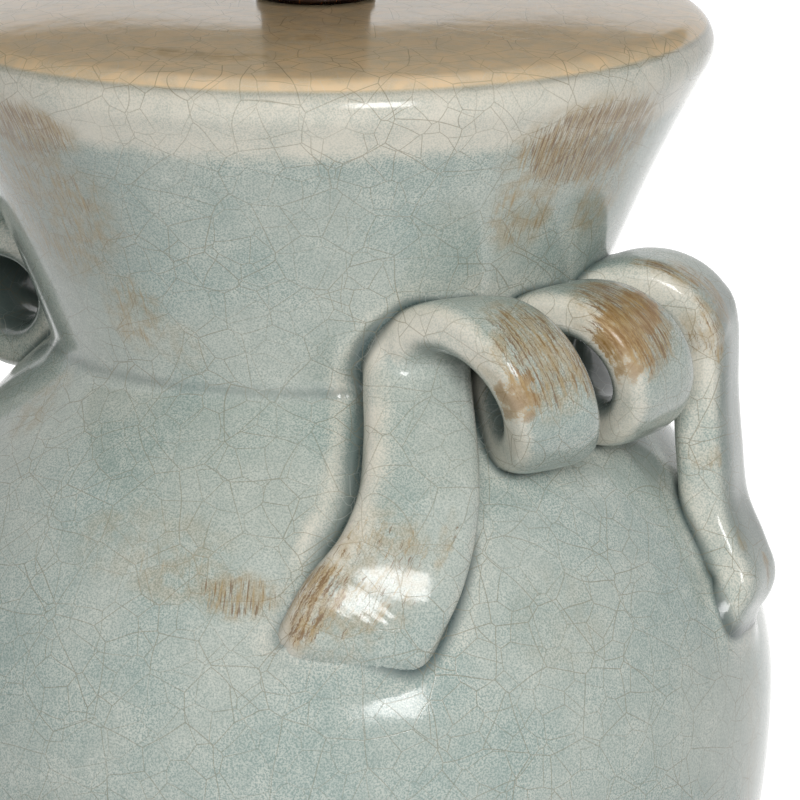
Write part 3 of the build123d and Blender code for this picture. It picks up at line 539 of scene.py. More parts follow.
def leg_stations(degrees, depths, lifts, half_widths, half_thicknesses):
    """Sections of a leg: degrees, height, distance, half width and half thickness."""
    heights = [CREASE[1] - depth * MM for depth in depths]
    distances = [shoulder_radius(height) + lift * MM for height, lift in zip(heights, lifts)]
    widths = [value * MM for value in half_widths]
    thicknesses = [value * MM for value in half_thicknesses]
    return list(zip(degrees, heights, distances, widths, thicknesses))


def ramp(value, start, end):
    """0 at start, 1 at end, straight between."""
    return min(max((value - start) / (end - start), 0.0), 1.0)


def coil_stations():
    """Sections of the coil, like those of a leg, from where the first leg goes over into it."""
    found = []
    steps = round((COIL_LAST - COIL_FIRST) / COIL_STEP)
    for index in range(steps + 1):
        done = COIL_FIRST + (COIL_LAST - COIL_FIRST) * index / steps
        angle = math.radians(180 - done)
        lead_in = max(0.0, 1 - done / 180)
        degrees = COIL_START + COIL_PITCH * done / 360 - COIL_LEAD_IN * lead_in ** 2
        climb = COIL_CLIMB * max(0.0, 2 * done / COIL_LAST - 1)
        height = COIL_MIDDLE[1] + COIL_RADIUS * math.sin(angle) + climb
        distance = COIL_MIDDLE[0] + COIL_RADIUS * math.cos(angle)
        half_width = STRAP_HALF_WIDTH + STRAP_FAN * math.cos(angle) + STRAP_ENTRY_SPREAD * lead_in
        tuck = math.sin(math.pi * ramp(done, *TUCK_TURNS))
        thinning = ramp(done, THIN_TURNS[0], THIN_TURNS[0] + THIN_RAMP)
        thinning *= ramp(done, THIN_TURNS[1], THIN_TURNS[1] - THIN_RAMP)
        half_thickness = STRAP_HALF_THICKNESS - COIL_THINNING * thinning
        degrees -= COIL_TUCK[0] * tuck
        half_width -= COIL_TUCK[1] * tuck
        found.append((degrees, height, distance, half_width, half_thickness))
    return found


def strap_stations():
    """Each station's place, half width and half thickness, as rows of five."""
    inner = leg_stations(INNER_LEG_DEGREES, INNER_LEG_DEPTHS, INNER_LEG_LIFTS,
                         INNER_LEG_HALF_WIDTHS, INNER_LEG_HALF_THICKNESSES)
    outer = leg_stations(OUTER_LEG_DEGREES, OUTER_LEG_DEPTHS, OUTER_LEG_LIFTS,
                         OUTER_LEG_HALF_WIDTHS, OUTER_LEG_HALF_THICKNESSES)
    rows = []
    for degrees, height, distance, half_width, half_thickness in inner + coil_stations() + outer:
        turn = math.radians(degrees - HANDLE_AZIMUTH)
        x, y = distance * math.cos(turn), distance * math.sin(turn)
        rows.append((x, y, height, half_width, half_thickness))
    return np.array(rows)


def smooth_rows(rows, steps):
    """Rows on a smooth curve through the given ones, steps to a span."""
    padded = np.vstack([2 * rows[0] - rows[1], rows, 2 * rows[-1] - rows[-2]])
    found = []
    for index in range(len(rows) - 1):
        a, b, c, d = padded[index:index + 4]
        for step in range(steps):
            t = step / steps
            found.append(0.5 * (2 * b + (c - a) * t + (2 * a - 5 * b + 4 * c - d) * t ** 2
                                + (3 * b - a - 3 * c + d) * t ** 3))
    found.append(rows[-1])
    return np.array(found)


def station_mesh():
    """The strap's line as loose points that carry the frame and size of each section."""
    rows = smooth_rows(strap_stations(), STRAP_SPAN_STEPS)
    centres = rows[:, :3]
    run = np.gradient(centres, axis=0)
    run /= np.linalg.norm(run, axis=1)[:, None]
    round_the_jar = np.stack([-centres[:, 1], centres[:, 0], 0 * centres[:, 0]], axis=1)
    round_the_jar /= np.linalg.norm(round_the_jar, axis=1)[:, None]
    across = round_the_jar - run * np.sum(round_the_jar * run, axis=1)[:, None]
    across /= np.linalg.norm(across, axis=1)[:, None]
    outwards = np.cross(run, across)
    steps = np.linalg.norm(np.diff(centres, axis=0), axis=1)
    along = np.concatenate([[0.0], np.cumsum(steps)])
    mesh = bpy.data.meshes.new("strap_stations")
    mesh.from_pydata([tuple(c) for c in centres], [], [])
    for name, values in (("across_way", across), ("face_way", outwards)):
        made = mesh.attributes.new(name, "FLOAT_VECTOR", "POINT")
        made.data.foreach_set("vector", values.astype(np.float32).ravel())
    for name, values in (("half_width", rows[:, 3]), ("half_thickness", rows[:, 4]), ("along", along)):
        made = mesh.attributes.new(name, "FLOAT", "POINT")
        made.data.foreach_set("value", values.astype(np.float32))
    return mesh


def make_strap_tree():
    """Geometry nodes that wrap a rounded section round a line of stations."""
    tree, entry, leave = new_group(
        "strap_along_stations", "GeometryNodeTree",
        [("Geometry", "NodeSocketGeometry"), ("Around", "NodeSocketInt", STRAP_AROUND),
         ("Squareness", "NodeSocketFloat", STRAP_SQUARENESS), ("Material", "NodeSocketMaterial")],
        [("Geometry", "NodeSocketGeometry")],
    )
    g = Graph(tree)
    i = entry.outputs

    def calc(operation, *values):
        return g.add("ShaderNodeMath", *values, operation=operation).outputs[0]

    def whole(operation, first, second):
        return g.add("FunctionNodeIntegerMath", first, second, operation=operation).outputs[0]

    def from_station(kind, name):
        field = g.add("GeometryNodeInputNamedAttribute", name, data_type=kind).outputs["Attribute"]
        sample = g.add("GeometryNodeSampleIndex", data_type=kind)
        g.named(sample, Geometry=i["Geometry"], Value=field, Index=station)
        return sample.outputs["Value"]

    count = g.add("GeometryNodeAttributeDomainSize", i["Geometry"], component="MESH").outputs["Point Count"]
    columns = whole("ADD", i["Around"], 1)
    grid = g.add("GeometryNodeMeshGrid", 1.0, 1.0, count, columns)
    index = g.add("GeometryNodeInputIndex").outputs[0]
    station = whole("DIVIDE_FLOOR", index, columns)
    step = whole("MODULO", index, columns)
    turn = calc("MULTIPLY", calc("DIVIDE", step, i["Around"]), 2 * math.pi)

    def squared(value):
        return calc("MULTIPLY", calc("SIGN", value), calc("POWER", calc("ABSOLUTE", value), i["Squareness"]))

    side = squared(calc("COSINE", turn))
    face = squared(calc("SINE", turn))
    centre = g.add("GeometryNodeSampleIndex", data_type="FLOAT_VECTOR")
    position = g.add("GeometryNodeInputPosition").outputs[0]
    g.named(centre, Geometry=i["Geometry"], Value=position, Index=station)
    offset_side = calc("MULTIPLY", side, from_station("FLOAT", "half_width"))
    offset_face = calc("MULTIPLY", face, from_station("FLOAT", "half_thickness"))
    to_side = g.add("ShaderNodeVectorMath", from_station("FLOAT_VECTOR", "across_way"), operation="SCALE")
    g.feed(to_side.inputs["Scale"], offset_side)
    to_face = g.add("ShaderNodeVectorMath", from_station("FLOAT_VECTOR", "face_way"), operation="SCALE")
    g.feed(to_face.inputs["Scale"], offset_face)
    offset = g.add("ShaderNodeVectorMath", to_side.outputs[0], to_face.outputs[0], operation="ADD")
    placed = g.add("ShaderNodeVectorMath", centre.outputs["Value"], offset.outputs[0], operation="ADD")
    along = from_station("FLOAT", "along")
    unrolled = g.add("ShaderNodeCombineXYZ", offset_side, offset_face, along).outputs[0]

    def keep(geometry, kind, name, value):
        made = g.add("GeometryNodeStoreNamedAttribute", data_type=kind, domain="POINT")
        g.named(made, Geometry=geometry, Name=name, Value=value)
        return made.outputs[0]

    body = keep(grid.outputs["Mesh"], "FLOAT_VECTOR", "unrolled", unrolled)
    body = keep(body, "FLOAT", "side", side)
    body = keep(body, "FLOAT", "face", face)
    moved = g.add("GeometryNodeSetPosition")
    g.named(moved, Geometry=body, Position=placed.outputs[0])
    closed = g.add("GeometryNodeMergeByDistance")
    g.named(closed, Geometry=moved.outputs[0], Distance=SEAM_CLOSES)
    smooth = g.add("GeometryNodeSetShadeSmooth", closed.outputs[0])
    real = g.add("GeometryNodeRealizeInstances", smooth.outputs[0])
    coloured = g.add("GeometryNodeSetMaterial", real.outputs[0])
    g.feed(coloured.inputs["Material"], i["Material"])
    g.feed(leave.inputs["Geometry"], coloured.outputs[0])
    return tree


def add_object(name, data):
    made = bpy.data.objects.new(name, data)
    bpy.context.scene.collection.objects.link(made)
    return made


def run_nodes(mesh, tree, **inputs):
    """The plain mesh that a geometry tree makes of a mesh. Inputs are named with _ for a space."""
    carrier = add_object("carrier", mesh)
    modifier = carrier.modifiers.new("nodes", "NODES")
    modifier.node_group = tree
    identifiers = {item.name: item.identifier for item in tree.interface.items_tree if item.in_out == "INPUT"}
    for name, value in inputs.items():
        modifier[identifiers[name.replace("_", " ")]] = value
    depsgraph = bpy.context.evaluated_depsgraph_get()
    made = bpy.data.meshes.new_from_object(
        carrier.evaluated_get(depsgraph), preserve_all_data_layers=True, depsgraph=depsgraph)
    bpy.data.objects.remove(carrier)
    return made


def read_points(mesh, name=None):
    """Vertex places, or a vector attribute, as an array."""
    found = np.zeros(len(mesh.vertices) * 3, np.float32)
    if name is None:
        mesh.vertices.foreach_get("co", found)
    else:
        mesh.attributes[name].data.foreach_get("vector", found)
    return found.reshape(-1, 3).astype(float)


def read_floats(mesh, name):
    found = np.zeros(len(mesh.vertices), np.float32)
    mesh.attributes[name].data.foreach_get("value", found)
    return found.astype(float)


def write_floats(mesh, name, values):
    made = mesh.attributes.get(name) or mesh.attributes.new(name, "FLOAT", "POINT")
    made.data.foreach_set("value", np.asarray(values, np.float32))


def write_vectors(mesh, name, values):
    made = mesh.attributes.get(name) or mesh.attributes.new(name, "FLOAT_VECTOR", "POINT")
    made.data.foreach_set("vector", np.asarray(values, np.float32).ravel())


def soft_noise(points, size, seed):
    """Smooth noise at each point, about -1 to 1."""
    shift = Vector((seed * 17.3, seed * 5.1, seed * 9.7))      # each seed reads another part of the noise
    return np.array([noise.noise(Vector(p) / size + shift) for p in points])


def close_ends(mesh):
    bm = bmesh.new()
    bm.from_mesh(mesh)
    rim = [edge for edge in bm.edges if edge.is_boundary]
    bmesh.ops.holes_fill(bm, edges=rim, sides=0)
    bmesh.ops.recalc_face_normals(bm, faces=bm.faces)
    for face in bm.faces:
        face.smooth = True
    bm.to_mesh(mesh)
    bm.free()


def edge_ends(mesh):
    """The two vertices of each edge."""
    found = np.zeros(len(mesh.edges) * 2, np.int32)
    mesh.edges.foreach_get("vertices", found)
    return found.reshape(-1, 2)


def point_normals(mesh):
    found = np.zeros(len(mesh.vertices) * 3, np.float32)
    mesh.vertices.foreach_get("normal", found)
    return found.reshape(-1, 3).astype(float)


def move_points(mesh, points):
    mesh.vertices.foreach_set("co", points.astype(np.float32).ravel())
    mesh.update()


def mean_of_neighbours(points, ends):
    """For each point, the middle of the points that an edge joins it to."""
    count = np.bincount(ends.ravel(), minlength=len(points))
    total = np.stack([
        np.bincount(ends[:, 0], points[ends[:, 1], k], len(points))
        + np.bincount(ends[:, 1], points[ends[:, 0], k], len(points)) for k in range(3)
    ], axis=1)
    return total / count[:, None]


def press_joins(mesh, rounds, sharpness):
    """Fills the creases where turns of clay meet, and leaves the rest as it is.

    Only points that lie more than sharpness below their neighbours are raised."""
    ends = edge_ends(mesh)
    points = read_points(mesh)
    for turn in range(rounds):
        if turn % PRESS_ROUNDS_PER_NORMAL == 0:
            move_points(mesh, points)
            normals = point_normals(mesh)
        outwards = np.sum((mean_of_neighbours(points, ends) - points) * normals, axis=1)
        points += normals * (PRESS_STEP * np.clip(outwards - sharpness, 0, None))[:, None]
    move_points(mesh, points)


def even_out(mesh, rounds):
    """Takes the voxel steps out of a mesh without shrinking it."""
    ends = edge_ends(mesh)
    points = read_points(mesh)
    for share in EVEN_OUT_STEPS * rounds:
        points += share * (mean_of_neighbours(points, ends) - points)
    move_points(mesh, points)


def thumb_smooth(mesh, share, rounds):
    """Rubs the clay smooth where share is 1."""
    ends = edge_ends(mesh)
    points = read_points(mesh)
    for _ in range(rounds):
        points += (0.5 * share)[:, None] * (mean_of_neighbours(points, ends) - points)
    move_points(mesh, points)


def one_skin(mesh, voxel):
    """A single skin round a mesh whose turns run into each other."""
    carrier = add_object("carrier", mesh)
    remesh = carrier.modifiers.new("skin", "REMESH")
    remesh.mode = "VOXEL"
    remesh.voxel_size = voxel
    remesh.use_smooth_shade = True
    depsgraph = bpy.context.evaluated_depsgraph_get()
    made = bpy.data.meshes.new_from_object(carrier.evaluated_get(depsgraph), depsgraph=depsgraph)
    bpy.data.objects.remove(carrier)
    return made


def carry_over(source, target):
    """Gives each point of the target the strap attributes of the nearest place on the source."""
    tree = tree_of(source)
    old_points = read_points(source)
    values = np.column_stack([
        read_points(source, "unrolled"), read_floats(source, "side"), read_floats(source, "face"),
    ])
    corners = [list(polygon.vertices) for polygon in source.polygons]
    found = np.zeros((len(target.vertices), 5))
    for index, point in enumerate(read_points(target)):
        place, _, polygon, _ = tree.find_nearest(Vector(point))
        chosen = corners[polygon]
        away = np.linalg.norm(old_points[chosen] - np.array(place), axis=1) + 1e-6
        found[index] = (values[chosen] / away[:, None]).sum(axis=0) / (1 / away).sum()
    write_vectors(target, "unrolled", found[:, :3])
    write_floats(target, "side", found[:, 3])
    write_floats(target, "face", found[:, 4])


def handle_mesh():
    """The right handle: one strap of clay, its turns pressed together and its folds rubbed smooth."""
    swept = run_nodes(station_mesh(), make_strap_tree(), Around=STRAP_AROUND,
                      Squareness=STRAP_SQUARENESS, Material=GLAZE)
    close_ends(swept)
    mesh = one_skin(swept, HANDLE_VOXEL)
    even_out(mesh, 4)
    press_joins(mesh, PRESS_ROUNDS, PRESS_SHARPNESS)
    even_out(mesh, 2)
    carry_over(swept, mesh)
    along, side = read_points(mesh, "unrolled")[:, 2], read_floats(mesh, "side")
    turn_over = step_down(np.abs(along - LEG_TURNS_OVER), 7 * MM, 20 * MM) * step_down(side, -0.5, 0.4)
    foot_end = step_down(along, 5 * MM, 17 * MM)
    thumb_smooth(mesh, np.maximum(turn_over, foot_end), THUMB_ROUNDS)
    mesh.materials.clear()
    mesh.materials.append(GLAZE)
    return mesh


def new_piece(name, mesh, body, slot, *nodes):
    """A finished piece at the origin that rides on a body and stands for CAD nodes."""
    piece = add_object(name, mesh)
    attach(piece, body)
    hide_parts(*nodes)


# ---------------------------------------------------------------- jar

def flare_curve():
    """From the crease up to the rim's rounding."""
    centre = (RIM_RADIUS - RIM_ROUND, JAR_TOP - RIM_ROUND)
    edge = (centre[0] + RIM_ROUND * math.cos(FLARE_TANGENT), centre[1] - RIM_ROUND * math.sin(FLARE_TANGENT))
    middle = ((CREASE[0] + edge[0]) / 2 - FLARE_HOLLOW, (CREASE[1] + edge[1]) / 2)
    even = bezier([CREASE, middle, edge], 400)
    shares = np.linspace(0, 1, FLARE_ROWS) ** FLARE_BUNCHING * (len(even) - 1)
    return np.stack([np.interp(shares, np.arange(len(even)), even[:, k]) for k in (0, 1)], axis=1)


def arc(centre, radius, start, end, count):
    turns = np.radians(np.linspace(start, end, count))
    return np.stack([centre[0] + radius * np.cos(turns), centre[1] + radius * np.sin(turns)], axis=1)


def round_corner(curve_in, curve_out, reach):
    """Two curves that meet in a corner, joined by a curve from reach before it to reach after it."""
    corner = curve_out[0]
    keep_in = curve_in[np.linalg.norm(curve_in - corner, axis=1) > reach]
    keep_out = curve_out[np.linalg.norm(curve_out - corner, axis=1) > reach]
    bend = bezier([keep_in[-1], corner, keep_out[0]], 11)
    return keep_in, bend[1:-1], keep_out


def lower_curve():
    """From the ankle up to the belly."""
    return bezier([
        ANKLE, (ANKLE[0] + ANKLE_LEAD[0], ANKLE[1] + ANKLE_LEAD[1]),
        (BELLY[0], BELLY[1] - BELLY_SWELL), BELLY,
    ], LOWER_ROWS)


def rim_and_top():
    """Over the rim's rounding and up the domed top to the neck's seat."""
    centre = (RIM_RADIUS - RIM_ROUND, JAR_TOP - RIM_ROUND)
    rim = arc(centre, RIM_ROUND, -math.degrees(FLARE_TANGENT), 90 - DOME_EDGE_SLOPE, 15)
    reach = (SEAT[1] - rim[-1][1]) / math.tan(math.radians(DOME_EDGE_SLOPE))
    dome = bezier([rim[-1], (rim[-1][0] - reach, SEAT[1]), (DOME_FLAT, SEAT[1])], 14)
    return np.vstack([rim[1:], dome[1:], [SEAT]])


def inside_rows():
    """Through the hole in the top and down the inside of the wall to the foot ring."""
    recess = FOOT_BOTTOM + FOOT_RECESS
    hole = [(PIPE_HOLE_RADIUS, SEAT[1]), (PIPE_HOLE_RADIUS, SEAT[1] - WALL), (SEAT[0], SEAT[1] - WALL)]
    flare = [(RIM_RADIUS - 2.2 * WALL, JAR_TOP - WALL), (CREASE[0] - WALL, CREASE[1] + 2 * MM)]
    shoulder = shoulder_curve(9)[::-1][1:] - np.array([WALL, WALL / 3])
    lower = lower_curve()[::-4][1:-1] - np.array([WALL, 0])
    floor = [
        (ANKLE[0] - WALL, recess + WALL), (FLOOR_HOLE_RADIUS, recess + WALL),
        (FLOOR_HOLE_RADIUS, recess), (FOOT[0] - FOOT_RING_WIDTH, recess),
    ]
    return np.vstack([hole, flare, shoulder, lower, floor])


def jar_outline():
    """The wall's closed outline in (distance, height), from the foot up, over the rim and back inside."""
    foot = [
        (FOOT[0] - FOOT_RING_WIDTH, FOOT_BOTTOM), (FOOT[0] - FOOT_BEVEL, FOOT_BOTTOM),
        (FOOT[0], FOOT_BOTTOM + FOOT_BEVEL), (FOOT[0] + FOOT_LEAN, FOOT_BOTTOM + FOOT_BEVEL * 3),
    ]
    cove = bezier([FOOT, (ANKLE[0] + FOOT_COVE, FOOT[1] + FOOT_COVE), ANKLE], 7)
    shoulder, crease, flare = round_corner(shoulder_curve(SHOULDER_ROWS), flare_curve(), CREASE_FILLET)
    outside = [foot, cove, lower_curve()[1:], shoulder[1:], crease, flare, rim_and_top()]
    return np.vstack(outside + [inside_rows()])


def jar_azimuths():
    """Angles of the columns, close together at both handles."""
    first, last = HANDLE_SPAN
    found = []
    for middle in (0.0, 180.0):
        found.extend(np.linspace(middle + first, middle + last, FINE_COLUMNS, endpoint=False))
        found.extend(np.linspace(middle + last, middle + 180.0 + first, COARSE_COLUMNS, endpoint=False))
    return np.radians(np.array(found))


def turned_mesh(name, outline, azimuths):
    """A closed shell: every point of a closed outline carried round the axis."""
    rows, columns = len(outline), len(azimuths)
    radius, height = outline[:, 0], outline[:, 1]
    x = radius[:, None] * np.cos(azimuths)[None, :]
    y = radius[:, None] * np.sin(azimuths)[None, :]
    z = np.repeat(height[:, None], columns, axis=1)
    points = np.stack([x, y, z], axis=2).reshape(-1, 3)
    row, column = np.meshgrid(np.arange(rows), np.arange(columns), indexing="ij")
    after, beside = (row + 1) % rows, (column + 1) % columns
    faces = np.stack([row * columns + column, row * columns + beside,
                      after * columns + beside, after * columns + column], axis=2).reshape(-1, 4)
    mesh = bpy.data.meshes.new(name)
    mesh.from_pydata(points.tolist(), [], faces.tolist())
    mesh.polygons.foreach_set("use_smooth", np.ones(len(mesh.polygons), bool))
    return mesh


def jar_mesh():
    mesh = turned_mesh("jar", jar_outline(), jar_azimuths())
    mesh.materials.append(GLAZE)
    return mesh


# ---------------------------------------------------------------- the clay and glaze where pieces meet

GROOVE_REACH = 12 * MM
JOIN_REACH = 2.6 * MM          # wall and strap swell towards each other from this far off ...
FOOT_JOIN_REACH = 8.5 * MM     # ... from this much further at the first leg's foot ...
TAIL_JOIN_REACH = 4.0 * MM     # ... and at the strap's tail
REFINE_REACH = 6.5 * MM        # the jar's faces are halved this near to a strap
LIP_HEIGHT = 0.45 * MM         # beside the first leg's groove
TROUGH_DEPTH = 0.75 * MM       # the groove itself
TOP_EDGE = 382.4 * MM          # the tan of the top ends here on the rim's rounding
HANDLE_HEIGHTS = (240 * MM, 350 * MM)
HANDLE_INSIDE = 55 * MM        # no strap comes nearer to the axis than this

# Patches, as (middle, reach, strength), where the brush left brown, where it left gold and where the glaze
# ran thick, this last partly painted shade. On the jar, degrees round it and height in mm; on its top,
# degrees and distance from the axis; on a strap, across and along it.
BRUSHED_JAR = [
    ((0.0, 366.0), (20.0, 14.0), 1.0), ((-10.0, 352.0), (9.0, 14.0), 0.75),
    ((9.0, 352.0), (9.0, 15.0), 0.75), ((-95.0, 369.0), (14.0, 9.0), 1.0),
    ((-98.0, 350.0), (20.0, 22.0), 0.8), ((-84.0, 326.0), (9.0, 12.0), 0.75),
    ((-74.0, 319.0), (6.0, 8.0), 0.5), ((-66.0, 275.0), (10.0, 8.0), 0.6), ((-57.0, 271.0), (7.0, 6.0), 0.9),
    ((-79.0, 281.0), (5.0, 6.0), 0.5), ((-71.0, 279.0), (17.0, 11.0), 0.45),
    ((-13.0, 262.0), (10.0, 15.0), 0.35), ((24.5, 232.0), (4.0, 42.0), 0.4),
    ((-30.0, 276.0), (4.0, 9.0), 0.4), ((-82.0, 206.0), (8.0, 22.0), 0.55), ((70.0, 300.0), (7.0, 9.0), 0.6),
    ((60.0, 366.0), (12.0, 9.0), 0.7),
]
BRUSHED_TOP = [
    ((-68.0, 70.0), (18.0, 5.0), 0.85), ((-52.0, 52.0), (14.0, 4.0), 0.6),
    ((20.0, 62.0), (30.0, 6.0), 0.5),
]
# Darker glaze on the left of the flare and beside the outer strap: partly a deeper glaze, partly painted
# shade where the jar's sides turn from the light.
DEEP_GLAZE_AND_SHADE_JAR = [((-98.0, 350.0), (24.0, 26.0), 0.18), ((20.0, 292.0), (6.0, 12.0), 0.35)]
BRUSHED_STRAP = [
    ((-12.0, 11.0), (6.5, 10.0), 1.0), ((-5.0, 20.0), (15.0, 20.0), 0.72), ((7.0, 33.0), (2.4, 8.0), 0.7),
    ((0.0, 112.0), (13.5, 14.5), 0.9), ((8.5, 117.0), (3.5, 10.0), 0.95), ((-2.0, 202.0), (14.0, 14.0), 1.0),
    ((-7.5, 290.0), (3.4, 9.0), 0.85), ((-10.0, 303.0), (2.8, 12.0), 0.8), ((-3.0, 297.0), (4.0, 9.0), 0.9),
    ((-11.6, 335.0), (1.8, 4.0), 0.6), ((0.5, 364.5), (2.5, 3.0), 0.9), ((-8.6, 359.5), (1.8, 5.0), 0.7),
]
GOLD_STRAP = [
    ((-9.6, 117.0), (5.5, 6.0), 1.0), ((1.0, 203.0), (11.0, 5.0), 1.0), ((-9.0, 205.0), (6.5, 9.0), 1.0),
    ((-6.0, 297.0), (3.0, 9.0), 0.55),
]


def tree_of(mesh):
    bm = bmesh.new()
    bm.from_mesh(mesh)
    tree = BVHTree.FromBMesh(bm)
    bm.free()
    return tree


def step_down(values, near, far):
    """1 at near and less, 0 at far and more, smooth between."""
    share = np.clip((far - values) / (far - near), 0, 1)
    return share * share * (3 - 2 * share)


def step_up(values, low, high):
    """0 at low and less, 1 at high and more, smooth between."""
    share = np.clip((values - low) / (high - low), 0, 1)
    return share * share * (3 - 2 * share)


def nearest_on(tree, points, reach):
    """Distance to a surface, negative inside it, and the face found, for each point."""
    distance = np.full(len(points), reach * 2)
    face = np.full(len(points), -1)
    for index, point in enumerate(points):
        place, normal, found, away = tree.find_nearest(Vector(point), reach)
        if place is not None:
            inside = (Vector(point) - place).dot(normal) < 0
            distance[index] = -away if inside else away
            face[index] = found
    return distance, face


def strap_near(jar, handles):
    """For each jar point: distance to the nearest strap, and that strap's side and place along it."""
    points = read_points(jar)
    radius = np.hypot(points[:, 0], points[:, 1])
    low, high = HANDLE_HEIGHTS
    near = (points[:, 2] > low) & (points[:, 2] < high) & (radius > HANDLE_INSIDE)
    distance = np.full(len(points), 1.0)
    side = np.zeros(len(points))
    along = np.full(len(points), 0.1)
    for mesh in handles:
        chosen = np.where(near & (points[:, 0] * mesh.vertices[0].co.x > 0))[0]
        away, face = nearest_on(tree_of(mesh), points[chosen], GROOVE_REACH)
        touched = face >= 0
        chosen, away, face = chosen[touched], away[touched], face[touched]
        corner = np.array([mesh.polygons[int(f)].vertices[0] for f in face])
        distance[chosen] = away
        side[chosen] = read_floats(mesh, "side")[corner]
        along[chosen] = read_points(mesh, "unrolled")[corner, 2]
    return distance, side, along


def refine_near(jar, handles, reach):
    """Halves the jar's faces beside the straps."""
    distance, _, _ = strap_near(jar, handles)
    close = (distance < reach) & (distance > -2.0 * MM)
    bm = bmesh.new()
    bm.from_mesh(jar)
    bm.verts.ensure_lookup_table()
    chosen = [face for face in bm.faces if all(close[vertex.index] for vertex in face.verts)]
    edges = list({edge for face in chosen for edge in face.edges})
    bmesh.ops.subdivide_edges(bm, edges=edges, cuts=1, use_grid_fill=True)
    for face in bm.faces:
        face.smooth = True
    bm.to_mesh(jar)
    bm.free()


def foot_share(side, along):
    """1 at the first leg's foot, which is smoothed into the wall, least at its right edge."""
    whole = step_down(along, 9 * MM, 26 * MM)
    return whole * (1 - 0.75 * np.clip(side, 0, 1)) * (1 - 0.5 * step_down(side, -0.97, -0.8))


def swell_at_join(distance, side, along):
    """How far wall and strap both swell near their join, so that they run into each other."""
    tail = step_up(along, 366 * MM, 376 * MM)
    reach = JOIN_REACH + FOOT_JOIN_REACH * foot_share(side, along) + TAIL_JOIN_REACH * tail
    return reach / 4 * np.clip(1 - np.abs(distance) / reach, 0, 1) ** 2


def join_jar_to_handles(jar, handles):
    """Swells the jar's wall against each strap and notes where the glaze pools and thins there, and where
    shade is painted at the join.

    The near side of each leg keeps an open groove with a lip."""
    points = read_points(jar)
    normals = point_normals(jar)
    distance, side, along = strap_near(jar, handles)
    wobble = soft_noise_near(points, distance, 11 * MM, 3)
    away = np.maximum(distance, 0)
    foot = foot_share(side, along)
    on_leg = step_down(along, 62 * MM, 92 * MM)
    groove = np.clip(-side * 1.3, 0, 1) * (1 - foot) * (0.15 + 0.85 * on_leg)
    # Painted shadow: a broader dark band at the right of the first leg's foot, where the fillet lies in
    # shade.
    low_right = np.clip(side * 1.2, 0, 1) * step_down(along, 30 * MM, 52 * MM)
    width = (0.9 + 3.3 * groove + 1.5 * low_right) * MM * (1 + 0.2 * wobble)
    # The pool is glaze gathered in the groove, darkest right at the join, where it is also painted shade.
    soft = step_down(away, width * 0.35, width * 1.75)
    deep = step_down(away, 0.0, width * 0.9)
    pool_and_shade = (0.74 * soft + 0.26 * deep) * (1 - 0.85 * foot * (1 - low_right))
    band = step_down(np.abs(away - width * 1.2 - 1.6 * MM), 0.2 * MM, 4.6 * MM)
    thin = band * (away > width * 0.8) * (0.3 + 0.45 * groove) * (0.8 + 0.3 * wobble)
    lip = LIP_HEIGHT * np.exp(-((away - width * 1.75) / (1.2 * MM)) ** 2) * groove
    trough = TROUGH_DEPTH * np.exp(-((away - width * 0.7) / (1.1 * MM)) ** 2) * groove
    lift = np.where(distance < GROOVE_REACH, swell_at_join(distance, side, along) + lip - trough, 0)
    move_points(jar, points + normals * lift[:, None])
    return pool_and_shade * (distance < GROOVE_REACH), thin


def join_handle_to_jar(mesh, jar_tree):
    """Swells a strap against the jar's wall."""
    distance, _ = nearest_on(jar_tree, read_points(mesh), GROOVE_REACH)
    along, side = read_points(mesh, "unrolled")[:, 2], read_floats(mesh, "side")
    lift = swell_at_join(distance, side, along)
    move_points(mesh, read_points(mesh) + point_normals(mesh) * lift[:, None])


def soft_noise_near(points, distance, size, seed):
    """Smooth noise, worked out only at points within reach of a strap."""
    found = np.zeros(len(points))
    chosen = distance < GROOVE_REACH
    found[chosen] = soft_noise(points[chosen], size, seed)
    return found


def patch_share(u, v, patch):
    """1 in the middle of an oval patch, 0 at its edge and outside. A patch is centre, reach, strength."""
    (middle_u, middle_v), (reach_u, reach_v), strength = patch
    away = np.hypot((u - middle_u) / reach_u, (v - middle_v) / reach_v)
    return strength * step_down(away, 0.55, 1.15)


def painted(u, v, patches):
    return np.maximum.reduce([patch_share(u, v, patch) for patch in patches])


def painted_twice(degrees, v, patches):
    """The same patches on both sides of the jar."""
    other_side = (degrees + 360) % 360 - 180
    return np.maximum(painted(degrees, v, patches), painted(other_side, v, patches))


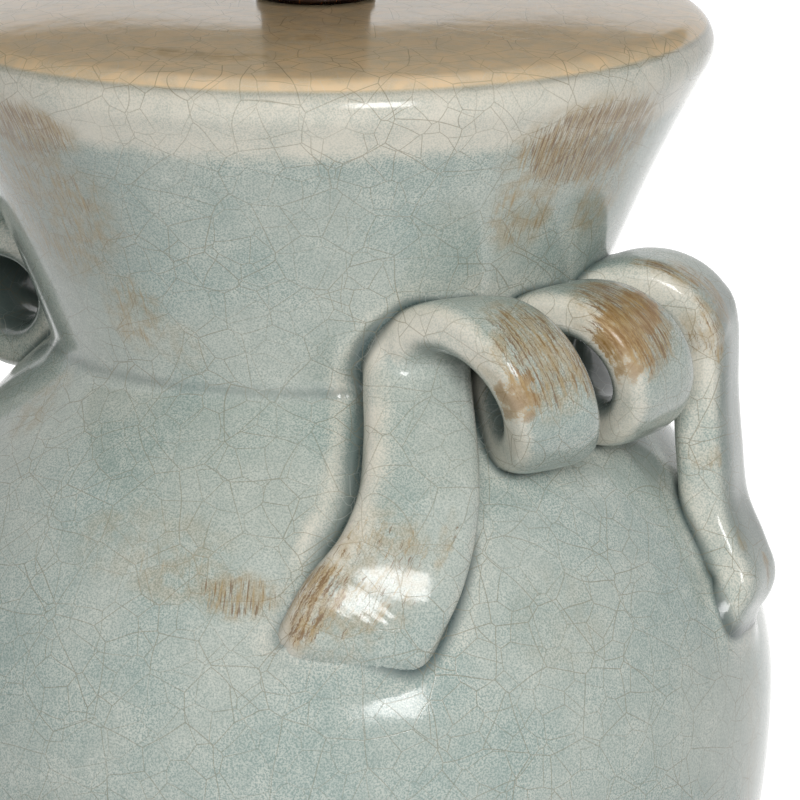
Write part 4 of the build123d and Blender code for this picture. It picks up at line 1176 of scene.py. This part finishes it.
def mark_jar(jar, pool_and_shade, thin):
    """Where the jar's own form and the brush make the glaze thin, thick, tan or brown; the thick glaze's dark
    also carries painted shade.
    """
    points = read_points(jar)
    radius = np.hypot(points[:, 0], points[:, 1])
    height = points[:, 2]
    degrees = np.degrees(np.arctan2(points[:, 1], points[:, 0]))
    wobble = soft_noise(points, 14 * MM, 1) * 0.5 + 0.5
    crease_line = np.exp(-((height - CREASE[1] - 1.2 * MM) / (1.5 * MM)) ** 2) * (radius < 66 * MM)
    pool_and_shade = np.maximum(pool_and_shade, 0.6 * crease_line * (0.3 + 0.7 * wobble))
    on_top = step_up(height, TOP_EDGE - 0.3 * MM, TOP_EDGE + 0.7 * MM) * (radius > 8 * MM)
    top_line = np.exp(-((height - TOP_EDGE) / (0.5 * MM)) ** 2) * (radius > 80 * MM)
    pool_and_shade = np.maximum(pool_and_shade, 0.45 * top_line * wobble)
    rim_low = step_up(height, 364 * MM, 370 * MM) * (radius > 78 * MM)
    foot_low = step_down(height, 8 * MM, 14 * MM)
    thin = np.maximum.reduce([thin, rim_low * (1 - on_top) * (0.6 + 0.45 * wobble), foot_low])
    stain = painted_twice(degrees, height / MM, BRUSHED_JAR)
    brushed_top = painted_twice(degrees, radius / MM, BRUSHED_TOP)
    # Painted shade, with some real deeper glaze, joins the pooled glaze here.
    pool_and_shade = np.maximum(pool_and_shade, painted(degrees, height / MM, DEEP_GLAZE_AND_SHADE_JAR))
    write_floats(jar, "pool_and_shade", pool_and_shade)
    write_floats(jar, "thin", thin)
    write_floats(jar, "top", on_top)
    write_floats(jar, "stain", np.where(on_top > 0.5, brushed_top, stain))
    write_floats(jar, "gold", np.zeros(len(points)))
    turn = np.radians(degrees)
    upright = np.stack([turn * 80 * MM, radius * 0, height], axis=1)
    rings = np.stack([radius, radius * 0, turn * 60 * MM], axis=1)
    write_vectors(jar, "unrolled", np.where(on_top[:, None] > 0.5, rings, upright))


def mark_handle(mesh, jar_tree):
    """Where the strap's form and the brush make the glaze thin, thick, gold or brown, with painted shade in
    the pooled glaze.
    """
    points = read_points(mesh)
    side, face = read_floats(mesh, "side"), read_floats(mesh, "face")
    across, _, along = (read_points(mesh, "unrolled") / MM).T
    distance, _ = nearest_on(jar_tree, points, GROOVE_REACH)
    away = np.maximum(distance, 0)
    wobble = soft_noise(points, 9 * MM, 2) * 0.5 + 0.5
    left = np.clip(-side * 1.4, 0, 1)
    foot = step_down(along, 9, 24)
    # The seam's pool is glaze gathered at the join, darkened there as painted shade.
    seam = step_down(away, 0.0, (1.6 + 1.6 * left) * MM) * (1 - 0.85 * foot)
    in_coil = step_up(along, 80, 94) * step_down(along, 292, 306)
    # Painted shade: the coil's inner faces in the hollow are darkened, partly as pooled glaze.
    hollow = in_coil * step_down(face, -0.95, -0.2)
    # The tail's right face is darker: partly a thicker glaze, partly painted shade.
    right_face = step_up(along, 290, 306) * step_up(face, 0.6, 0.9) * step_down(along, 356, 372)
    pool_and_shade = np.maximum.reduce([seam * 0.85, hollow * 0.7, right_face * (0.3 + 0.3 * wobble)])
    near_edge = step_down(side, -0.95, np.where(along < 80, -0.35, -0.6))
    far_edge = step_up(side, 0.8, 0.98)
    thin = np.maximum(near_edge * (0.6 + 0.5 * wobble), far_edge * 0.7 * wobble) * (1 - hollow)
    thin *= 1 - 0.45 * step_up(along, 296, 330)
    outward = np.where(along < 85, -face, face) > -0.3
    write_floats(mesh, "pool_and_shade", pool_and_shade)
    write_floats(mesh, "thin", np.clip(thin, 0, 1))
    write_floats(mesh, "stain", painted(across, along, BRUSHED_STRAP) * outward)
    write_floats(mesh, "gold", painted(across, along, GOLD_STRAP) * outward)
    write_floats(mesh, "top", np.zeros(len(points)))


def twin_mesh(mesh, name):
    """The same mesh on the other side of the lamp."""
    made = mesh.copy()
    made.name = name
    points = read_points(made) * np.array([-1, -1, 1])
    made.vertices.foreach_set("co", points.astype(np.float32).ravel())
    return made


def make_stoneware():
    """The jar and its two handles, as one pot whose clay and glaze run together."""
    right = handle_mesh()
    jar = jar_mesh()
    both = (right, twin_mesh(right, "far_side"))
    refine_near(jar, both, REFINE_REACH)
    plain_wall = tree_of(jar)
    pool_and_shade, thin = join_jar_to_handles(jar, both)
    mark_jar(jar, pool_and_shade, thin)
    join_handle_to_jar(right, plain_wall)
    mark_handle(right, tree_of(jar))
    left = twin_mesh(right, "handle_left")
    new_piece("stoneware_jar", jar, "base", "glaze", "jar")
    new_piece("strap_handle_right", right, "base", "glaze", "handle_right")
    new_piece("strap_handle_left", left, "base", "glaze", "handle_left")


make_stoneware()


# ---------------------------------------------------------------- metal, cloth and the rest

def make_turned_group():
    """Fine tool lines round the axis, as height, and the patches where the surface has dulled."""
    tree, entry, leave = new_group(
        "turned_lines", "ShaderNodeTree",
        [("Vector", "NodeSocketVector"), ("Line", "NodeSocketFloat", 0.25 * MM),
         ("Patch", "NodeSocketFloat", 6 * MM)],
        [("Height", "NodeSocketFloat"), ("Dull", "NodeSocketFloat")],
    )
    g = Graph(tree)
    i = entry.outputs
    parts = g.add("ShaderNodeSeparateXYZ", i["Vector"])
    x, y, z = parts.outputs
    square = plus(g, times(g, x, x), times(g, y, y))
    ring = g.add("ShaderNodeCombineXYZ", shader_math(g, "SQRT", square), z, 0.0)
    lines = noise_node(g, ring.outputs[0], divided(g, 1.0, i["Line"]), Detail=2.0)
    dull = noise_node(g, i["Vector"], divided(g, 1.0, i["Patch"]), Detail=4.0, Roughness=0.6)
    g.feed(leave.inputs["Height"], lines.outputs["Fac"])
    g.feed(leave.inputs["Dull"], ramp_up(g, dull.outputs["Fac"], 0.4, 0.66))
    return tree


def make_weave_group():
    """A plain weave on a cone or drum: thread height, thick and thin threads, and the odd slub."""
    tree, entry, leave = new_group(
        "plain_weave", "ShaderNodeTree",
        [("Vector", "NodeSocketVector"), ("Radius", "NodeSocketFloat", 0.19),
         ("Pitch", "NodeSocketFloat", 0.7 * MM)],
        [("Height", "NodeSocketFloat"), ("Thread", "NodeSocketFloat"), ("Slub", "NodeSocketFloat")],
    )
    g = Graph(tree)
    i = entry.outputs
    parts = g.add("ShaderNodeSeparateXYZ", i["Vector"])
    x, y, z = parts.outputs
    round_way = times(g, shader_math(g, "ARCTAN2", y, x), i["Radius"])

    def wave(place):
        turn = times(g, divided(g, place, i["Pitch"]), math.pi)
        return shader_math(g, "SINE", turn)

    warp, weft = wave(round_way), wave(z)
    over = shader_math(g, "GREATER_THAN", times(g, warp, weft), 0.0)
    lift_warp = times(g, shader_math(g, "ABSOLUTE", warp), over)
    lift_weft = times(g, shader_math(g, "ABSOLUTE", weft), minus(g, 1.0, over))
    height = plus(g, lift_warp, lift_weft)

    def threads(scale_round, scale_up, seed):
        place = g.add("ShaderNodeCombineXYZ", divided(g, round_way, scale_round),
                      divided(g, z, scale_up), seed)
        return noise_node(g, place.outputs[0], 1.0, Detail=2.0, Roughness=0.6).outputs["Fac"]

    along_weft = threads(24 * MM, 0.8 * MM, 1.7)
    along_warp = threads(0.8 * MM, 30 * MM, 5.2)
    g.feed(leave.inputs["Height"], height)
    g.feed(leave.inputs["Thread"], times(g, plus(g, along_weft, along_warp), 0.5))
    g.feed(leave.inputs["Slub"], ramp_up(g, threads(14 * MM, 1.3 * MM, 9.1), 0.62, 0.74))
    return tree


def make_grain_group():
    """A fine grain as height, with a slow drift of tone."""
    tree, entry, leave = new_group(
        "moulded_grain", "ShaderNodeTree",
        [("Vector", "NodeSocketVector"), ("Grain", "NodeSocketFloat", 0.4 * MM),
         ("Drift", "NodeSocketFloat", 9 * MM)],
        [("Height", "NodeSocketFloat"), ("Tone", "NodeSocketFloat")],
    )
    g = Graph(tree)
    i = entry.outputs
    for name, size, detail in (("Height", "Grain", 3.0), ("Tone", "Drift", 4.0)):
        made = noise_node(g, i["Vector"], divided(g, 1.0, i[size]), Detail=detail, Roughness=0.6)
        g.feed(leave.inputs[name], made.outputs["Fac"])
    return tree


TURNED = make_turned_group()
WEAVE = make_weave_group()
GRAIN = make_grain_group()


BRONZE_STREAKS = (
    {"Amount": 0.52, "Width": 0.75 * MM, "Length": 16 * MM, "Softness": 0.1},
    {"Amount": 0.42, "Width": 0.3 * MM, "Length": 10 * MM, "Softness": 0.08},
)


def bronze_material():
    """Near-black bronze, rubbed through to copper in upright streaks."""
    material, g, shader = new_material("oil_rubbed_bronze")
    place = object_place(g)
    turned = place_group(g, TURNED, Vector=place, Line=0.3 * MM, Patch=7 * MM)
    rubbed, hairs = [place_group(g, STREAKS, Vector=place, **streaks)["Mask"] for streaks in BRONZE_STREAKS]
    colour = blend_colours(g, turned["Dull"], srgb(34, 25, 20), srgb(58, 40, 30))
    colour = blend_colours(g, times(g, rubbed, 0.75), colour, srgb(150, 88, 42))
    colour = blend_colours(g, hairs, colour, srgb(196, 124, 62))
    g.feed(shader.inputs["Base Color"], colour)
    shader.inputs["Metallic"].default_value = 0.85
    g.feed(shader.inputs["Roughness"], between(g, turned["Dull"], 0.24, 0.42))
    height = minus(g, turned["Height"], times(g, rubbed, 0.5))
    bump_into(g, shader, height, 0.03 * MM)
    return material


def brass_material():
    """Satin brass with tool lines, dulled in patches."""
    material, g, shader = new_material("satin_brass")
    place = object_place(g)
    turned = place_group(g, TURNED, Vector=place, Line=0.22 * MM, Patch=5 * MM)
    colour = blend_colours(g, turned["Dull"], srgb(212, 180, 112), srgb(166, 134, 78))
    g.feed(shader.inputs["Base Color"], colour)
    shader.inputs["Metallic"].default_value = 1.0
    g.feed(shader.inputs["Roughness"], between(g, turned["Dull"], 0.24, 0.44))
    bump_into(g, shader, turned["Height"], 0.02 * MM)
    return material


def zinc_material():
    """Zinc plate, faintly spangled."""
    material, g, shader = new_material("zinc_plate")
    place = object_place(g)
    spangle = g.add("ShaderNodeTexVoronoi")
    g.named(spangle, Vector=place, Scale=1 / (2.2 * MM))
    tone = g.add("ShaderNodeSeparateColor", spangle.outputs["Color"]).outputs[0]
    turned = place_group(g, TURNED, Vector=place, Line=0.35 * MM, Patch=8 * MM)
    colour = blend_colours(g, tone, srgb(192, 194, 196), srgb(156, 160, 166))
    colour = blend_colours(g, times(g, turned["Dull"], 0.5), colour, srgb(178, 172, 148))
    g.feed(shader.inputs["Base Color"], colour)
    shader.inputs["Metallic"].default_value = 1.0
    g.feed(shader.inputs["Roughness"], between(g, tone, 0.3, 0.46))
    bump_into(g, shader, turned["Height"], 0.02 * MM)
    return material


def moulded_material(name, dark, light, roughness, grain, bump, sheen=0.0):
    """A moulded or pressed stuff with a fine grain and a drift of tone."""
    material, g, shader = new_material(name)
    place = object_place(g)
    grained = place_group(g, GRAIN, Vector=place, Grain=grain, Drift=grain * 22)
    colour = blend_colours(g, ramp_up(g, grained["Tone"], 0.35, 0.65), dark, light)
    flecks = times(g, ramp_up(g, grained["Height"], 0.5, 0.75), 0.35)
    g.feed(shader.inputs["Base Color"], blend_colours(g, flecks, colour, light))
    g.feed(shader.inputs["Roughness"], between(g, grained["Height"], roughness[0], roughness[1]))
    bump_into(g, shader, grained["Height"], bump)
    shader.inputs["Sheen Weight"].default_value = sheen
    return material


def frosted_bulb_material():
    """White-coated glass, a little uneven where the coating ran."""
    material, g, shader = new_material("frosted_white_glass")
    place = object_place(g)
    grained = place_group(g, GRAIN, Vector=place, Grain=0.5 * MM, Drift=14 * MM)
    drift = ramp_up(g, grained["Tone"], 0.35, 0.65)
    colour = blend_colours(g, drift, srgb(238, 238, 232), srgb(228, 229, 224))
    g.feed(shader.inputs["Base Color"], colour)
    g.feed(shader.inputs["Roughness"], between(g, grained["Tone"], 0.2, 0.36))
    bump_into(g, shader, grained["Height"], 0.01 * MM)
    return material


def woven_material(name, dark, light, pitch, radius, bump, roughness=0.9):
    """Plain-woven cloth with uneven threads and slubs, and painted shade in the weave's dips."""
    material, g, shader = new_material(name)
    place = object_place(g)
    weave = place_group(g, WEAVE, Vector=place, Radius=radius, Pitch=pitch)
    colour = blend_colours(g, ramp_up(g, weave["Thread"], 0.38, 0.62), dark, light)
    # Painted shade: the dips between the threads are darkened.
    dip = minus(g, 1.0, ramp_up(g, weave["Height"], 0.0, 0.55))
    shade_in_the_dips = tuple(c * 0.55 for c in dark[:3]) + (1.0,)
    colour = blend_colours(g, times(g, dip, 0.4), colour, shade_in_the_dips)
    colour = blend_colours(g, times(g, weave["Slub"], 0.5), colour, light)
    g.feed(shader.inputs["Base Color"], colour)
    shader.inputs["Roughness"].default_value = roughness
    shader.inputs["Sheen Weight"].default_value = 0.15
    height = plus(g, weave["Height"], times(g, weave["Slub"], 0.9))
    bump_into(g, shader, height, bump)
    return material


FINISHES = {
    "glaze": GLAZE,
    "bronze": bronze_material(),
    "brass": brass_material(),
    "zinc": zinc_material(),
    "rubber": moulded_material(
        "black_rubber", srgb(30, 30, 30), srgb(46, 45, 44), (0.55, 0.75), grain=0.3 * MM, bump=0.04 * MM),
    "felt": moulded_material(
        "pressed_felt", srgb(52, 74, 60), srgb(86, 108, 90), (0.85, 1.0), grain=0.35 * MM, bump=0.25 * MM,
        sheen=0.4),
    "card": moulded_material(
        "socket_card", srgb(128, 100, 68), srgb(164, 134, 98), (0.75, 0.95), grain=0.5 * MM, bump=0.06 * MM),
    "phenolic": moulded_material(
        "black_phenolic", srgb(24, 22, 21), srgb(42, 37, 34), (0.16, 0.3), grain=0.6 * MM, bump=0.01 * MM),
    "bulb": frosted_bulb_material(),
    "liner": woven_material(
        "white_shade_film", srgb(226, 223, 213), srgb(240, 238, 230), pitch=0.7 * MM, radius=0.19,
        bump=0.01 * MM, roughness=0.45),
    "linen": woven_material(
        "natural_linen", srgb(206, 195, 170), srgb(234, 226, 206), pitch=0.72 * MM, radius=0.19,
        bump=0.12 * MM),
    "linen_trim": woven_material(
        "linen_tape", srgb(208, 198, 174), srgb(232, 224, 204), pitch=0.5 * MM, radius=0.2,
        bump=0.08 * MM),
}


def finish_solids():
    """Gives each solid of the model the finish of its slot."""
    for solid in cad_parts.values():
        for place in solid.material_slots:
            slot = place.material.name.split(".")[0]
            place.material = FINISHES[slot]


finish_solids()


# ---------------------------------------------------------------- stage

AMBIENT = 0.28               # the world's light on the object; it is seen as plain white
FLOOR_GLOW = 0.9             # so is the floor, nearly
LIT_PLACE = (0, 0, 0.27)     # the lamps look at this place


def seen_share(g):
    """1 for rays from the camera, mirrored or let through, and 0 for those that light the object."""
    path = g.add("ShaderNodeLightPath").outputs
    seen = larger(g, path["Is Camera Ray"], path["Is Glossy Ray"])
    return larger(g, seen, path["Is Transmission Ray"])


def stand_off(thing, azimuth, elevation, distance, target):
    """Points a lamp or camera at a target from a distance, at degrees round -Y towards +X."""
    a, e = math.radians(azimuth), math.radians(elevation)
    way = Vector((math.sin(a) * math.cos(e), -math.cos(a) * math.cos(e), math.sin(e)))
    thing.location = Vector(target) + way * distance
    thing.rotation_euler = way.to_track_quat("Z", "Y").to_euler()


def make_floor():
    bm = bmesh.new()
    bmesh.ops.create_grid(bm, x_segments=8, y_segments=8, size=40.0)
    mesh = bpy.data.meshes.new("floor")
    bm.to_mesh(mesh)
    bm.free()
    floor = add_object("floor", mesh)
    floor.location.z = -0.2 * MM
    material, g, shader = new_material("pale_floor")
    shader.inputs["Base Color"].default_value = (0.45, 0.45, 0.44, 1)
    shader.inputs["Roughness"].default_value = 0.9
    shader.inputs["Specular IOR Level"].default_value = 0.1
    seen = seen_share(g)
    shader.inputs["Emission Color"].default_value = (1, 1, 1, 1)
    g.feed(shader.inputs["Emission Strength"], times(g, seen, FLOOR_GLOW))
    mesh.materials.append(material)


def make_world():
    world = bpy.data.worlds.new("studio")
    bpy.context.scene.world = world
    world.use_nodes = True
    g = Graph(world.node_tree)
    background = world.node_tree.nodes["Background"]
    seen = seen_share(g)
    strength = plus(g, times(g, seen, 1 - AMBIENT), AMBIENT)
    background.inputs["Color"].default_value = (1, 1, 1, 1)
    g.feed(background.inputs["Strength"], strength)


def softbox(name, azimuth, elevation, distance, size, power, mirrored=True):
    """A rectangular lamp that looks at the lit place.

    One that isn't mirrored lights the object without a highlight of its own."""
    light = bpy.data.lights.new(name, "AREA")
    light.shape = "RECTANGLE"
    light.size, light.size_y = size
    light.energy = power
    lamp = add_object(name, light)
    stand_off(lamp, azimuth, elevation, distance, LIT_PLACE)
    lamp.visible_glossy = mirrored


def make_camera():
    camera = bpy.data.cameras.new("camera")
    camera.lens = CAMERA_LENS
    camera.sensor_width = 36
    camera.clip_start = 0.05
    camera.clip_end = 100
    holder = add_object("camera", camera)
    stand_off(holder, CAMERA_AZIMUTH, CAMERA_ELEVATION, CAMERA_DISTANCE, CAMERA_TARGET)
    bpy.context.scene.camera = holder


make_floor()
make_world()
softbox("key", 62, 20, 1.5, (0.4, 0.42), 6.5)
softbox("front", 45, 24, 2.4, (1.3, 0.8), 33, mirrored=False)
softbox("rear", 225, 24, 2.4, (1.6, 0.8), 33, mirrored=False)
make_camera()
bpy.context.scene.view_settings.view_transform = "Standard"
